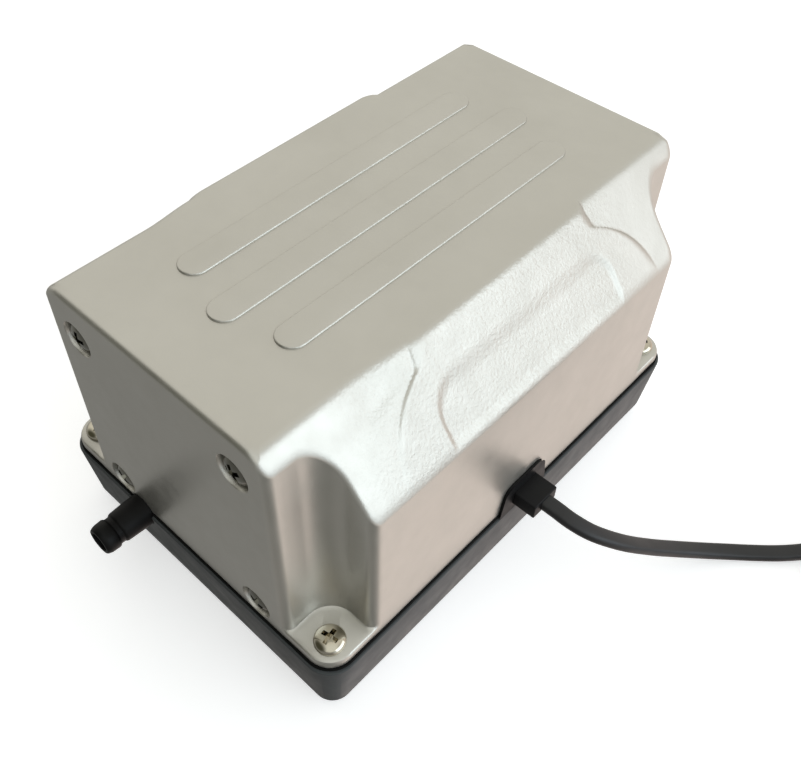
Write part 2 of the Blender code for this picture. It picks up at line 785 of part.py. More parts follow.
def make_flaps(end, side, finish):
    """The inlet flap lies on the chamber side of the plate, the outlet flap outside it."""
    for kind, rise, face, away in (
        ("inlet", PORT_OFFSET_Z, VALVE_PLATE_Y[1] - GAP, -FLAP_THICKNESS),
        ("outlet", -PORT_OFFSET_Z, VALVE_PLATE_Y[0] + GAP, FLAP_THICKNESS),
    ):
        middle = AXIS_Z + rise
        hinge_z = middle + FLAP_TOP
        outline = arc((0.0, middle - 1.0), FLAP_HALF_WIDTH, 180, 360, 8)
        outline += [(FLAP_HALF_WIDTH, hinge_z), (-FLAP_HALF_WIDTH, hinge_z)]
        span = mirrored_span((face, face + away), end)
        flap = prism(f"{side}_{kind}_flap", outline, span, "Y", finish)
        set_origin(flap, (0.0, end * face, hinge_z))


def make_frame(finish):
    plate_y = FRAME_PLATE_Y
    front = prism("pump_frame", head_outline(), mirrored_span(plate_y, -1), "Y", finish)
    parts = [prism("plate", head_outline(), mirrored_span(plate_y, 1), "Y", finish)]
    reach = plate_y[1] + 1.0
    for sx in (-1, 1):
        xs = sorted((sx * HEAD_HALF_WIDTH, sx * (HEAD_HALF_WIDTH - 3.0)))
        parts.append(box("rail", (xs[0], -reach, 45.0), (xs[1], reach, 96.0), finish))
    join(front, parts)
    cutters = []
    for end in (-1, 1):
        low, high = mirrored_span(plate_y, end)
        cutters.append(rod("cutter", (0, 0, AXIS_Z), 31.0, (low - 1, high + 1), "Y", finish, 24))
        cutters += screw_bores(plate_y, end, finish)
    return cut(front, cutters)


def ring_outline(half_y, half_z, radius, steps):
    return rounded_rectangle(half_y, half_z, radius, steps, (0.0, AXIS_Z))


def square_ring(name, span_x, outer, inner, finish):
    """A rectangular ring round the X axis, between the two ends of span_x."""
    rings = []
    for outline, order in ((outer, span_x), (inner, span_x[::-1])):
        for x in order:
            rings.append([(x, u, v) for u, v in outline])
    return loft(name, rings, finish, closed=True)


def make_electromagnet(side_sign, side, finishes):
    """A laminated E core on the frame's rail, with its bobbin and winding."""

    def at(a, b):
        return tuple(sorted((side_sign * a, side_sign * b)))

    yoke = at(34.7, 27.0)
    core = box(f"{side}_magnet_core", (yoke[0], -26.0, 52.5), (yoke[1], 26.0, 88.5), finishes["steel"])
    arm = at(28.0, 11.0)
    arms = [
        box("arm", (arm[0], low, 52.5), (arm[1], high, 88.5), finishes["steel"])
        for low, high in ((-26.0, -20.0), (-6.0, 6.0), (20.0, 26.0))
    ]
    join(core, arms)

    bore = ring_outline(6.3, 18.3, 0.2, 2)
    barrel = ring_outline(7.4, 19.4, 1.0, 2)
    flange = ring_outline(19.4, 29.0, 3.0, 2)
    xs = [side_sign * x for x in (11.4, 12.6, 25.4, 26.6)]
    rings = [[(xs[0], u, v) for u, v in flange], [(xs[1], u, v) for u, v in flange]]
    rings += [[(xs[1], u, v) for u, v in barrel], [(xs[2], u, v) for u, v in barrel]]
    rings += [[(xs[2], u, v) for u, v in flange], [(xs[3], u, v) for u, v in flange]]
    rings += [[(xs[3], u, v) for u, v in bore], [(xs[0], u, v) for u, v in bore]]
    loft(f"{side}_coil_bobbin", rings, finishes["bobbin"], closed=True)

    wire = at(12.9, 25.1)
    square_ring(
        f"{side}_coil_winding",
        wire,
        ring_outline(18.6, 28.0, 4.0, 4),
        ring_outline(7.7, 19.7, 1.0, 4),
        finishes["copper"],
    )


def make_armature(finishes):
    """The moving plate with its two studs, magnets, clamp plates and nuts."""
    steel = finishes["steel"]
    casting = finishes["casting"]
    axis = (0.0, 0.0, AXIS_Z)
    plate = box("armature_shaft", (-4.0, -34.0, 55.0), (4.0, 34.0, 86.0), casting)
    stud_end = RING_Y[1] + 6.9
    studs = [
        rod("stud", axis, 3.0, mirrored_span((33.0, stud_end), end), "Y", casting, 12)
        for end in (-1, 1)
    ]
    shoulder = (DIAPHRAGM_Y[1] - GAP, DIAPHRAGM_Y[1] - GAP - 3.0)
    studs += [
        rod("shoulder", axis, 15.0, mirrored_span(shoulder, end), "Y", casting, 20)
        for end in (-1, 1)
    ]
    join(plate, studs)
    windows = []
    moving = [plate]
    for end, side in ((-1, "front"), (1, "rear")):
        low, high = mirrored_span((5.7, 24.3), end)
        windows.append(box("cutter", (-6.0, low, 58.7), (6.0, high, 82.3), steel))
        low, high = mirrored_span((6.0, 24.0), end)
        moving.append(
            box(f"{side}_magnet", (-5.5, low, 59.0), (5.5, high, 82.0), finishes["magnet"])
        )
    cut(plate, windows)
    for end, side in ((-1, "front"), (1, "rear")):
        outer = (DIAPHRAGM_Y[0] + GAP, DIAPHRAGM_Y[0] + GAP + 3.0)
        low, high = mirrored_span(outer, end)
        profile = [(3.3, low), (15.0, low), (15.0, high), (3.3, high)]
        moving.append(turned(f"{side}_clamp_plate", profile, axis, "Y", steel, 20, hollow=True))
        low, high = mirrored_span((outer[1] + GAP, outer[1] + GAP + 3.2), end)
        nut = prism(f"{side}_lock_nut", circle((0.0, AXIS_Z), 5.8, 6), (low, high), "Y", steel)
        cut(nut, [rod("cutter", axis, 3.4, (low - 1, high + 1), "Y", steel, 12)])
        moving.append(nut)
    for piece in moving:
        set_origin(piece, axis)


def make_air_path(finishes):
    """The sealed air chamber in the tray, the hose to the outlet, and the inlet filter."""
    plastic = finishes["plastic"]
    tank = box("air_chamber", (-48.0, -84.0, 7.0), (2.0, 84.0, TANK_TOP_Z), plastic)
    outlet_y = -68.0
    head_y = (COVER_Y[0] + COVER_Y[1]) / 2
    hollow = [box("cutter", (-45.5, -81.5, 9.5), (-0.5, 81.5, TANK_TOP_Z - 2.5), plastic)]
    for x, y in ((DUCT_X, -head_y), (DUCT_X, head_y), (NOZZLE_X, outlet_y)):
        span = (TANK_TOP_Z - 4, TANK_TOP_Z + 1)
        hollow.append(rod("cutter", (x, y, 0), 3.4, span, "Z", plastic, 12))
    for sy in (-1, 1):
        place = (-FOOT_PLACE[0], sy * FOOT_PLACE[1], 0)
        hollow.append(rod("cutter", place, 5.5, (6.0, 9.0), "Z", plastic, 12))
    cut(tank, hollow)
    bend = 7.0
    curve = arc((outlet_y - bend, NOZZLE_Z - bend), bend, 90, 0, 5)
    path = [(NOZZLE_X, NOZZLE_TAIL_Y + GAP, NOZZLE_Z)]
    path += [(NOZZLE_X, y, z) for y, z in curve]
    path.append((NOZZLE_X, outlet_y, TANK_TOP_Z + GAP))
    pipe("outlet_hose", path, 4.6, 3.2, finishes["rubber"], 8)

    fx, fy, hx, hy = FILTER_PLACE
    low, high = FOOT_HEIGHT + 0.6, FOOT_HEIGHT + TRAY_FLOOR

    def block(name, inset, bottom, top, finish):
        corner = (fx - hx + inset, fy - hy + inset, bottom)
        return box(name, corner, (fx + hx - inset, fy + hy - inset, top), finish)

    cover = block("filter_cover", GAP, low, high, finishes["tray"])
    slots = []
    for i in range(FILTER_SLOTS):
        y = fy + FILTER_SLOT_PITCH * (i - (FILTER_SLOTS - 1) / 2)
        slots.append(box("cutter", (fx - 13.0, y - 1.8, low - 1), (fx + 13.0, y + 1.8, high + 1), plastic))
    cut(cover, slots)
    block("filter_felt", 1.0, high + GAP, high + 8.0, finishes["felt"])


def hang_on_stand(pieces):
    """Hang every piece on one empty, which centres the pump's box on the origin."""
    stand = bpy.data.objects.new("stand", None)
    bpy.context.scene.collection.objects.link(stand)
    stand.location = (0.0, MIDDLE_Y * MM, 0.0)
    for piece in pieces:
        piece.parent = stand


def main():
    for old in list(bpy.data.objects):
        bpy.data.objects.remove(old)
    finishes = {
        "casting": material("cast_aluminium", (0.50, 0.47, 0.41), 0.42, 0.6),
        "tray": material("grey_plastic", (0.07, 0.07, 0.068), 0.5),
        "black": material("black_plastic", (0.012, 0.012, 0.013), 0.4),
        "rubber": material("black_rubber", (0.02, 0.02, 0.02), 0.8),
        "screw": material("nickel_screw", (0.62, 0.58, 0.48), 0.28, 1.0),
        "cord": material("grey_cord", (0.045, 0.045, 0.047), 0.55),
        "plastic": material("white_plastic", (0.6, 0.6, 0.57), 0.5),
        "steel": material("bright_steel", (0.42, 0.42, 0.42), 0.4, 1.0),
        "bobbin": material("bobbin_nylon", (0.55, 0.5, 0.38), 0.5),
        "copper": material("copper_wire", (0.55, 0.22, 0.1), 0.35, 1.0),
        "magnet": material("ferrite", (0.06, 0.06, 0.065), 0.45, 0.5),
        "felt": material("filter_felt", (0.5, 0.5, 0.48), 0.95),
    }
    make_housing(finishes["casting"])
    make_tray(finishes["tray"])
    make_seal(finishes["rubber"])
    make_feet(finishes["rubber"])
    make_screws(finishes["screw"])
    make_nozzle(finishes["black"])
    make_gland(finishes["black"])
    cord_tube("power_cord", CORD_ROUTE, finishes["cord"])
    cord_tube("power_cord_tail", TAIL_ROUTE, finishes["cord"])
    make_coil(finishes["cord"], finishes["black"])
    make_plug(finishes["black"])
    make_pins(finishes["screw"])
    make_frame(finishes["casting"])
    for end, side in ((-1, "front"), (1, "rear")):
        make_head(end, side, finishes)
    for sign, side in ((-1, "left"), (1, "right")):
        make_electromagnet(sign, side, finishes)
    make_armature(finishes)
    make_air_path(finishes)
    hang_on_stand(list(bpy.data.objects))


main()
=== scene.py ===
"""The looks of the linear air pump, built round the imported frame.

Sizes are in millimetres about the housing's middle, as in the part's own source; at() turns
them into metres in the row frame.
"""

import math

import bmesh
import bpy
from mathutils import Matrix, Vector


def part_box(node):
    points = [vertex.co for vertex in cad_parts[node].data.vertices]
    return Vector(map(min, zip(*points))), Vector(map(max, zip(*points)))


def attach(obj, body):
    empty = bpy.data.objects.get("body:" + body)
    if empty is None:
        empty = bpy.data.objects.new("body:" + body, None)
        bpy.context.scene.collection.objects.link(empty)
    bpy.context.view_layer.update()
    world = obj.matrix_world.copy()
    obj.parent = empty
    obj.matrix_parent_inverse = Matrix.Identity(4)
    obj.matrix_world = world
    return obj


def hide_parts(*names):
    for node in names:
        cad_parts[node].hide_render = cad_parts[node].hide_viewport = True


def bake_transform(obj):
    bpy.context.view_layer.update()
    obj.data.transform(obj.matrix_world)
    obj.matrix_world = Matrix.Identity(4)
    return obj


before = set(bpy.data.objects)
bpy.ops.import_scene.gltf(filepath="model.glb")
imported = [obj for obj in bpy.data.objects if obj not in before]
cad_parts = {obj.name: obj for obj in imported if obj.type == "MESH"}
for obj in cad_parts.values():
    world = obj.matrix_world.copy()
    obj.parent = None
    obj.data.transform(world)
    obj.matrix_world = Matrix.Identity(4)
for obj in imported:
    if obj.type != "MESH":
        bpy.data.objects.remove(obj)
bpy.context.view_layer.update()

MM = 0.001
HOUSING_LOW, HOUSING_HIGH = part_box("upper_housing")
MIDDLE_Y = (HOUSING_LOW.y + HOUSING_HIGH.y) / 2
HALF_LENGTH = (HOUSING_HIGH.y - HOUSING_LOW.y) / 2 / MM
HALF_WIDTH = HOUSING_HIGH.x / MM
RIB_HEIGHT = 0.6
TOP_Z = HOUSING_HIGH.z / MM - RIB_HEIGHT
CASTING_Z = HOUSING_LOW.z / MM
LUG_TOP_Z = CASTING_Z + 3.4
TRAY_LOW, TRAY_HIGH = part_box("base_tray")
TRAY_HALF_WIDTH = -TRAY_LOW.x / MM
TRAY_HALF_LENGTH = (TRAY_HIGH.y - MIDDLE_Y) / MM
FOOT_HEIGHT = TRAY_LOW.z / MM
SEAM_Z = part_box("housing_seal")[0].z / MM - 0.3

# Housing shape
SHOULDER_Z = 91.0
END_TOP_HALF_WIDTH = 41.9
MID_TOP_HALF_WIDTH = 44.5
EDGE_RADIUS = 2.0
ROOF_BLEND = 2.0  # height over which the slopes round into the top
FLUTE_X = 46.3
FLUTE_Y = 71.5
FLUTE_INNER_RADIUS = 9.0
FLUTE_OUTER_RADIUS = 3.5
LUG_RADIUS = 8.5
SIDE_WALL = 3.2
END_WALL = 5.0
TOP_WALL = 3.2
ROOF_WALL = 4.6  # upright thickness of the casting under the slopes
SLOPE_MIDDLE_Y = 1.8
CREASE_TOP_Y = 39.8
CREASE_BEND_DEPTH = 5.0
CREASE_LEAN = 0.25  # how far a crease runs out for each millimetre down, above its bend
CREASE_FLARE = 20.5  # how far it runs out below the bend
CREASE_FLARE_DEPTH = 8.8
CREASE_STEP = 0.14  # the sharp share of the rise from a slope to its raised middle
POCKET_HALF_LENGTH = 41.0
POCKET_CORNER = 12.0
POCKET_TOP_X = 51.0
POCKET_TOP_WIDTH = 6.0
POCKET_SIDE_WIDTH = 2.0
POCKET_DEPTH = 1.027
RIBS = ((-20.0, 61.0), (0.0, 67.0), (20.0, 61.0))  # place and half length
RIB_HALF_WIDTH = 5.0
ROOF_FAN = 0.92  # the roof's lines draw together a little towards the middle
FINE_COLUMN_STEP = 0.36
COARSE_COLUMN_STEP = 1.2
FINE_COLUMNS_TO_Y = -24.0
ROOF_ROWS = 56

# Base tray
TRAY_TAPER = 2.8
TRAY_WALL = 3.4
TRAY_FLOOR = 3.0
TRAY_RADIUS = 9.5
TRAY_EDGE = 1.8
SEAL_LIP = 0.8  # ledge left bare outside the seal
PAD_HALF_WIDTH = 9.0
FOOT_PLACE = (44.0, 70.0)
FILTER_WINDOW = (27.0, 0.0, 17.0, 30.0)  # middle, then half sizes

# Fasteners, outlet and lead
LUG_SCREW = (57.0, 82.5)
LUG_SCREW_LENGTH = 19.0
COVER_SCREW_LENGTH = 33.3
END_SCREW_X = 33.0
END_SCREW_Z = (37.2, 104.0)
RECESS_RADIUS = 5.8
RECESS_DEPTH = 2.9
SCREW_HEAD_RADIUS = 5.0
SLOT_LEVELS = ((1.7, 0.55, 0.5), (3.1, 0.8, 3.4))  # half length, half width and height
NOZZLE_PLACE = (-24.3, 0.0, 28.0)
NOZZLE_TIP_Y = -108.5
NOZZLE_TAIL_Y = -78.0
NOZZLE_RADIUS = 5.8
NOZZLE_MOUTH_RADIUS = 6.1
CORD_HALF_WIDTH = 2.9
CORD_HALF_HEIGHT = 1.9
COIL_CENTRE = (197.0, 84.0)

# Diaphragms
AXIS_Z = 70.5  # height of the armature's axis
DIAPHRAGM_Y = (58.8, 57.3)  # their outer and inner faces
HUB_HOLE_RADIUS = 3.4
FOLD_INNER_RADIUS = 18.0
FOLD_OUTER_RADIUS = 29.0
FOLD_RISE = 3.2
DIAPHRAGM_RADIUS = 36.0


def at(x, y, z):
    """A place in millimetres about the housing's middle, in the frame's metres."""
    return Vector((x * MM, y * MM + MIDDLE_Y, z * MM))


def put(name, data):
    """A new object in the scene."""
    made = bpy.data.objects.new(name, data)
    bpy.context.scene.collection.objects.link(made)
    return made


# ---------------------------------------------------------------- camera, floor and light

# The camera looks at a point near the pump's middle, turned a little about its own axis.
CAMERA_AZIMUTH = 42.76
CAMERA_ELEVATION = 48.51
CAMERA_ROLL = 0.75
CAMERA_DISTANCE = 0.33367
CAMERA_TARGET = at(2.7, -3.0, 49.0)
CAMERA_LENS = 42.71
CAMERA_SHIFT = (0.0241, -0.0207)

# The stage, in metres
FLOOR_GAP = 0.0003  # below the feet
FLOOR_RADIUS = 2.8
WALL_BEND_RADIUS = 1.0
WALL_HEIGHT = 5.0


def make_camera():
    azimuth, elevation = math.radians(CAMERA_AZIMUTH), math.radians(CAMERA_ELEVATION)
    level = math.cos(elevation)
    back = Vector((math.sin(azimuth) * level, -math.cos(azimuth) * level, math.sin(elevation)))
    right = (-back).cross(Vector((0, 0, 1))).normalized()
    up = back.cross(right)
    roll = math.radians(CAMERA_ROLL)
    x_axis = right * math.cos(roll) + up * math.sin(roll)
    y_axis = up * math.cos(roll) - right * math.sin(roll)
    data = bpy.data.cameras.new("camera")
    data.lens = CAMERA_LENS
    data.shift_x, data.shift_y = CAMERA_SHIFT
    data.clip_start = 0.01
    camera = put("camera", data)
    turn = Matrix((x_axis, y_axis, back)).transposed().to_4x4()
    camera.matrix_world = Matrix.Translation(CAMERA_TARGET + back * CAMERA_DISTANCE) @ turn
    bpy.context.scene.camera = camera


def make_window():
    """The one lamp: a broad, slightly blue window on the pump's right."""
    place, target = Vector((1.25, 0.43, 0.56)), Vector((0, 0, 0.06))
    data = bpy.data.lights.new("window", "AREA")
    data.shape = "RECTANGLE"
    data.size, data.size_y = 1.7, 1.0
    data.energy = 8.0
    data.color = (0.90, 1.0, 1.08)
    lamp = put("window", data)
    lamp.location = place
    lamp.rotation_euler = (target - place).to_track_quat("-Z", "Y").to_euler()


def map_range(tree, value, inside, outside=(0.0, 1.0), kind="LINEAR"):
    """A value carried from one pair of limits to another."""
    made = tree.nodes.new("ShaderNodeMapRange")
    made.interpolation_type = kind
    made.inputs["From Min"].default_value, made.inputs["From Max"].default_value = inside
    made.inputs["To Min"].default_value, made.inputs["To Max"].default_value = outside
    tree.links.new(value, made.inputs["Value"])
    return made.outputs["Result"]


def glow(tree, colour, towards, limits, tint):
    """A soft patch of light on the surroundings, round one direction."""
    aim = tree.nodes.new("ShaderNodeVectorMath")
    aim.operation = "DOT_PRODUCT"
    tree.links.new(tree.nodes.new("ShaderNodeTexCoord").outputs["Generated"], aim.inputs[0])
    aim.inputs[1].default_value = Vector(towards).normalized()
    share = map_range(tree, aim.outputs["Value"], limits, kind="SMOOTHSTEP")
    blend = tree.nodes.new("ShaderNodeMix")
    blend.data_type = "RGBA"
    tree.links.new(share, blend.inputs[0])
    if isinstance(colour, tuple):
        blend.inputs[6].default_value = (*colour, 1)
    else:
        tree.links.new(colour, blend.inputs[6])
    blend.inputs[7].default_value = (*tint, 1)
    return blend.outputs[2]


def make_world():
    """A room with a bright ceiling behind the pump, a pale side and a dim front."""
    world = bpy.data.worlds.new("studio")
    world.use_nodes = True
    tree = world.node_tree
    colour = (0.30, 0.30, 0.29)
    for towards, limits, tint in (
        ((-0.45, 0.49, 0.75), (0.05, 0.80), (0.89, 0.875, 0.81)),
        ((0.55, 0.50, -0.67), (0.20, 0.90), (1.05, 0.92, 0.86)),
        ((0.92, 0.15, 0.15), (0.72, 0.97), (0.82, 0.90, 0.95)),
        ((0.40, -0.35, 0.80), (0.72, 0.95), (1.0, 1.02, 0.98)),
        ((-0.42, -0.75, 0.50), (0.68, 0.97), (0.08, 0.08, 0.055)),
        ((-0.90, -0.35, -0.25), (0.88, 0.99), (0.38, 0.38, 0.36)),
        ((0.48, -0.43, -0.74), (0.80, 0.99), (0.17, 0.17, 0.155)),
    ):
        colour = glow(tree, colour, towards, limits, tint)
    tree.links.new(colour, tree.nodes["Background"].inputs["Color"])
    tree.nodes["Background"].inputs["Strength"].default_value = 1.0
    bpy.context.scene.world = world
    bpy.context.scene.view_settings.view_transform = "Standard"


def pale_finish():
    """A matt, softly glowing white."""
    pale, _, shader = new_material("pale_floor")
    shader.inputs["Base Color"].default_value = (0.78, 0.785, 0.80, 1)
    shader.inputs["Roughness"].default_value = 1.0
    shader.inputs["Specular IOR Level"].default_value = 0.0
    shader.inputs["Emission Color"].default_value = (1, 1, 1, 1)
    shader.inputs["Emission Strength"].default_value = 0.52
    return pale


def make_stage():
    """A pale floor that curves up into a pale wall; neither sends light to the pump."""
    flat, bend, around = FLOOR_RADIUS, WALL_BEND_RADIUS, 96
    profile = [(flat * i / 7, 0.0) for i in range(1, 8)]
    profile += arc((flat, bend), bend, -80, 0, 8)
    profile.append((flat + bend, WALL_HEIGHT))
    points = []
    for radius, z in profile[::-1]:
        points += [(x, y, z - FLOOR_GAP) for x, y in circle((0, 0), radius, around)]
    faces = ring_faces(len(profile), around, False)
    faces.append(tuple(range(len(points) - around, len(points))))
    mesh = bpy.data.meshes.new("floor")
    mesh.from_pydata(points, [], faces)
    mesh.shade_smooth()
    mesh.materials.append(pale_finish())
    floor = put("floor", mesh)
    floor.visible_diffuse = False
    floor.visible_glossy = False
    floor.visible_shadow = False


# ---------------------------------------------------------------- materials


def new_material(name):
    made = bpy.data.materials.new(name)
    made.use_nodes = True
    return made, made.node_tree, made.node_tree.nodes["Principled BSDF"]


def place_node(tree):
    return tree.nodes.new("ShaderNodeTexCoord").outputs["Object"]


def noise(tree, scale, detail=3.0, roughness=0.55):
    made = tree.nodes.new("ShaderNodeTexNoise")
    made.inputs["Scale"].default_value = scale
    made.inputs["Detail"].default_value = detail
    made.inputs["Roughness"].default_value = roughness
    tree.links.new(place_node(tree), made.inputs["Vector"])
    return made.outputs["Fac"]


def spread(tree, value, low, high):
    """A noise value, which lies mostly between 0.3 and 0.7, spread between two limits."""
    return map_range(tree, value, (0.3, 0.7), (low, high))


def math_node(tree, operation, first, second=0.5):
    made = tree.nodes.new("ShaderNodeMath")
    made.operation = operation
    for slot, value in zip(made.inputs, (first, second)):
        if isinstance(value, (int, float)):
            slot.default_value = value
        else:
            tree.links.new(value, slot)
    return made.outputs[0]


def mixed_colour(tree, share, first, second):
    made = tree.nodes.new("ShaderNodeMix")
    made.data_type = "RGBA"
    made.inputs[6].default_value = (*first, 1)
    made.inputs[7].default_value = (*second, 1)
    tree.links.new(share, made.inputs[0])
    return made.outputs[2]


def bump(tree, height, distance, below=None):
    made = tree.nodes.new("ShaderNodeBump")
    made.inputs["Strength"].default_value = 1.0
    made.inputs["Distance"].default_value = distance
    tree.links.new(height, made.inputs["Height"])
    if below is not None:
        tree.links.new(below, made.inputs["Normal"])
    return made.outputs["Normal"]


def finish(name, colour, roughness, metallic=0.0, grain=900, depth=0.00002, vary=0.12, shine=0.5):
    """A moulded, cast or plated surface: fine grain, uneven gloss and a little uneven colour."""
    made, tree, shader = new_material(name)
    lighter = tuple(min(1.0, c * (1 + vary)) for c in colour)
    darker = tuple(c * (1 - vary) for c in colour)
    share = spread(tree, noise(tree, 60, 4), 0.0, 1.0)
    tree.links.new(mixed_colour(tree, share, darker, lighter), shader.inputs["Base Color"])
    gloss = spread(tree, noise(tree, 140), roughness * 0.88, roughness * 1.12)
    tree.links.new(gloss, shader.inputs["Roughness"])
    shader.inputs["Metallic"].default_value = metallic
    shader.inputs["Specular IOR Level"].default_value = shine
    tree.links.new(bump(tree, noise(tree, grain, 4), depth), shader.inputs["Normal"])
    return made


PEBBLES_FADE = (0.045, 0.068)  # distances along the housing, in metres, where the pebbles fade


def cast_paint():
    """Satin metallic paint on a die casting; the slopes show the casting's pebbled skin."""
    made, tree, shader = new_material("cast_paint")
    share = spread(tree, noise(tree, 35, 5), 0.0, 1.0)
    colour = mixed_colour(tree, share, (0.54, 0.525, 0.48), (0.57, 0.555, 0.51))
    tree.links.new(colour, shader.inputs["Base Color"])
    shader.inputs["Metallic"].default_value = 0.85
    gloss = spread(tree, noise(tree, 160, 4), 0.34, 0.42)
    tree.links.new(gloss, shader.inputs["Roughness"])
    facing = tree.nodes.new("ShaderNodeSeparateXYZ")
    tree.links.new(tree.nodes.new("ShaderNodeNewGeometry").outputs["Normal"], facing.inputs[0])
    outward = math_node(tree, "ABSOLUTE", facing.outputs["X"])
    sloping = math_node(tree, "MULTIPLY", outward, facing.outputs["Z"])
    sloping = math_node(tree, "SMOOTH_MIN", math_node(tree, "MULTIPLY", sloping, 2.0), 1.0)
    across = tree.nodes.new("ShaderNodeSeparateXYZ")
    tree.links.new(place_node(tree), across.inputs[0])
    off_middle = math_node(tree, "ABSOLUTE", across.outputs["Y"])
    rough = map_range(tree, off_middle, PEBBLES_FADE, (1.0, 0.2), "SMOOTHSTEP")
    share = math_node(tree, "MULTIPLY", sloping, rough)
    pebbles = math_node(tree, "MULTIPLY", noise(tree, 850, 4, 0.62), share)
    fine = bump(tree, noise(tree, 2600, 2), 0.000015)
    tree.links.new(bump(tree, pebbles, 0.00022, fine), shader.inputs["Normal"])
    return made


# ---------------------------------------------------------------- mesh helpers


def add_mesh(name, points, faces, material, sharp_degrees=32):
    """A closed mesh from points in millimetres, its faces turned outwards."""
    mesh = bpy.data.meshes.new(name)
    mesh.from_pydata([at(*p) for p in points], [], faces)
    work = bmesh.new()
    work.from_mesh(mesh)
    bmesh.ops.remove_doubles(work, verts=work.verts, dist=2e-6)
    bmesh.ops.recalc_face_normals(work, faces=work.faces)
    work.to_mesh(mesh)
    work.free()
    mesh.shade_smooth()
    mesh.set_sharp_from_angle(angle=math.radians(sharp_degrees))
    mesh.materials.append(material)
    return put(name, mesh)


def ring_faces(rings, count, closed):
    faces = []
    steps = rings if closed else rings - 1
    for i in range(steps):
        near, far = i * count, (i + 1) % rings * count
        for j in range(count):
            k = (j + 1) % count
            faces.append((near + j, near + k, far + k, far + j))
    return faces


def loft(name, rings, material, closed=False, sharp_degrees=32):
    count = len(rings[0])
    points = [p for ring in rings for p in ring]
    faces = ring_faces(len(rings), count, closed)
    if not closed:
        faces.append(tuple(range(count)))
        faces.append(tuple((len(rings) - 1) * count + j for j in range(count)))
    return add_mesh(name, points, faces, material, sharp_degrees)


def oriented(u, v, w, axis):
    return {"X": (w, u, v), "Y": (u, w, v), "Z": (u, v, w)}[axis]


def circle(centre, radius, count):
    turns = [2 * math.pi * i / count for i in range(count)]
    return [(centre[0] + radius * math.cos(a), centre[1] + radius * math.sin(a)) for a in turns]


def arc(centre, radius, first, last, steps):
    angles = [math.radians(first + (last - first) * i / steps) for i in range(steps + 1)]
    return [(centre[0] + radius * math.cos(a), centre[1] + radius * math.sin(a)) for a in angles]


def superellipse(half_u, half_v, power, count):
    """A closed outline between a rectangle (a low power) and an ellipse (1)."""
    outline = []
    for c, s in circle((0, 0), 1.0, count):
        u, v = math.copysign(abs(c) ** power, c), math.copysign(abs(s) ** power, s)
        outline.append((half_u * u, half_v * v))
    return outline


def corners(place):
    """A place (x, y) in each of the four corners, from front left to rear right."""
    return [(sx * place[0], sy * place[1], 0) for sx in (-1, 1) for sy in (-1, 1)]


def rounded_rectangle(half_u, half_v, radius, steps, centre=(0.0, 0.0)):
    outline = []
    for quarter, (su, sv) in enumerate(((1, 1), (-1, 1), (-1, -1), (1, -1))):
        middle = (centre[0] + su * (half_u - radius), centre[1] + sv * (half_v - radius))
        outline += arc(middle, radius, 90 * quarter, 90 * quarter + 90, steps)
    return outline


def inset(outline, amount):
    """An anticlockwise outline moved inwards along its corners' bisectors."""
    moved = []
    count = len(outline)
    for i, here in enumerate(outline):
        before, after = Vector(outline[i - 1]), Vector(outline[(i + 1) % count])
        point = Vector(here)
        first, second = (point - before).normalized(), (after - point).normalized()
        normal = Vector((-first.y - second.y, first.x + second.x))
        half = normal.normalized()
        reach = max(0.3, half.dot(Vector((-first.y, first.x))))
        moved.append(tuple(point + half * amount / reach))
    return moved


def prism(name, outline, span, axis, material):
    """An outline extruded between the two ends of span."""
    return loft(name, [[oriented(u, v, w, axis) for u, v in outline] for w in span], material)


def soft_prism(name, outline, span, axis, radius, material, steps=4, ends=(True, True)):
    """An outline extruded between the two ends of span, its end edges rounded."""
    low, high = span
    rings = []
    turns = [math.pi / 2 * i / steps for i in range(steps + 1)]
    for a in turns if ends[0] else [math.pi / 2]:
        layer = inset(outline, radius * (1 - math.sin(a)))
        rings.append([oriented(u, v, low + radius * (1 - math.cos(a)), axis) for u, v in layer])
    for a in turns[::-1] if ends[1] else [math.pi / 2]:
        layer = inset(outline, radius * (1 - math.sin(a)))
        rings.append([oriented(u, v, high - radius * (1 - math.cos(a)), axis) for u, v in layer])
    return loft(name, rings, material)


def turned(name, profile, centre, axis, material, segments=48, closed=False):
    """A profile of (radius, place along the axis) turned round an axis."""
    along = {"X": 0, "Y": 1, "Z": 2}[axis]
    across = [centre[i] for i in range(3) if i != along]
    rings = [
        [oriented(u, v, place, axis) for u, v in circle(across, radius, segments)]
        for radius, place in profile
    ]
    return loft(name, rings, material, closed)


def rod(name, radius, span, centre, axis, material, segments=24):
    """A round rod between the two ends of span, for a post or a cutter."""
    return turned(name, [(radius, end) for end in span], centre, axis, material, segments)


def merged(name, objects, material):
    """Several meshes in one object, as separate bodies."""
    work = bmesh.new()
    for piece in objects:
        work.from_mesh(piece.data)
        bpy.data.objects.remove(piece)
    mesh = bpy.data.meshes.new(name)
    work.to_mesh(mesh)
    work.free()
    mesh.materials.append(material)
    return put(name, mesh)


def combine(target, tool, operation, sharp_degrees=32):
    step = target.modifiers.new(operation, "BOOLEAN")
    step.operation = operation
    step.object = tool
    step.solver = "EXACT"
    bpy.context.view_layer.update()
    graph = bpy.context.evaluated_depsgraph_get()
    made = bpy.data.meshes.new_from_object(target.evaluated_get(graph))
    target.modifiers.clear()
    target.data = made
    bpy.data.objects.remove(tool)
    made.shade_smooth()
    made.set_sharp_from_angle(angle=math.radians(sharp_degrees))
    return target


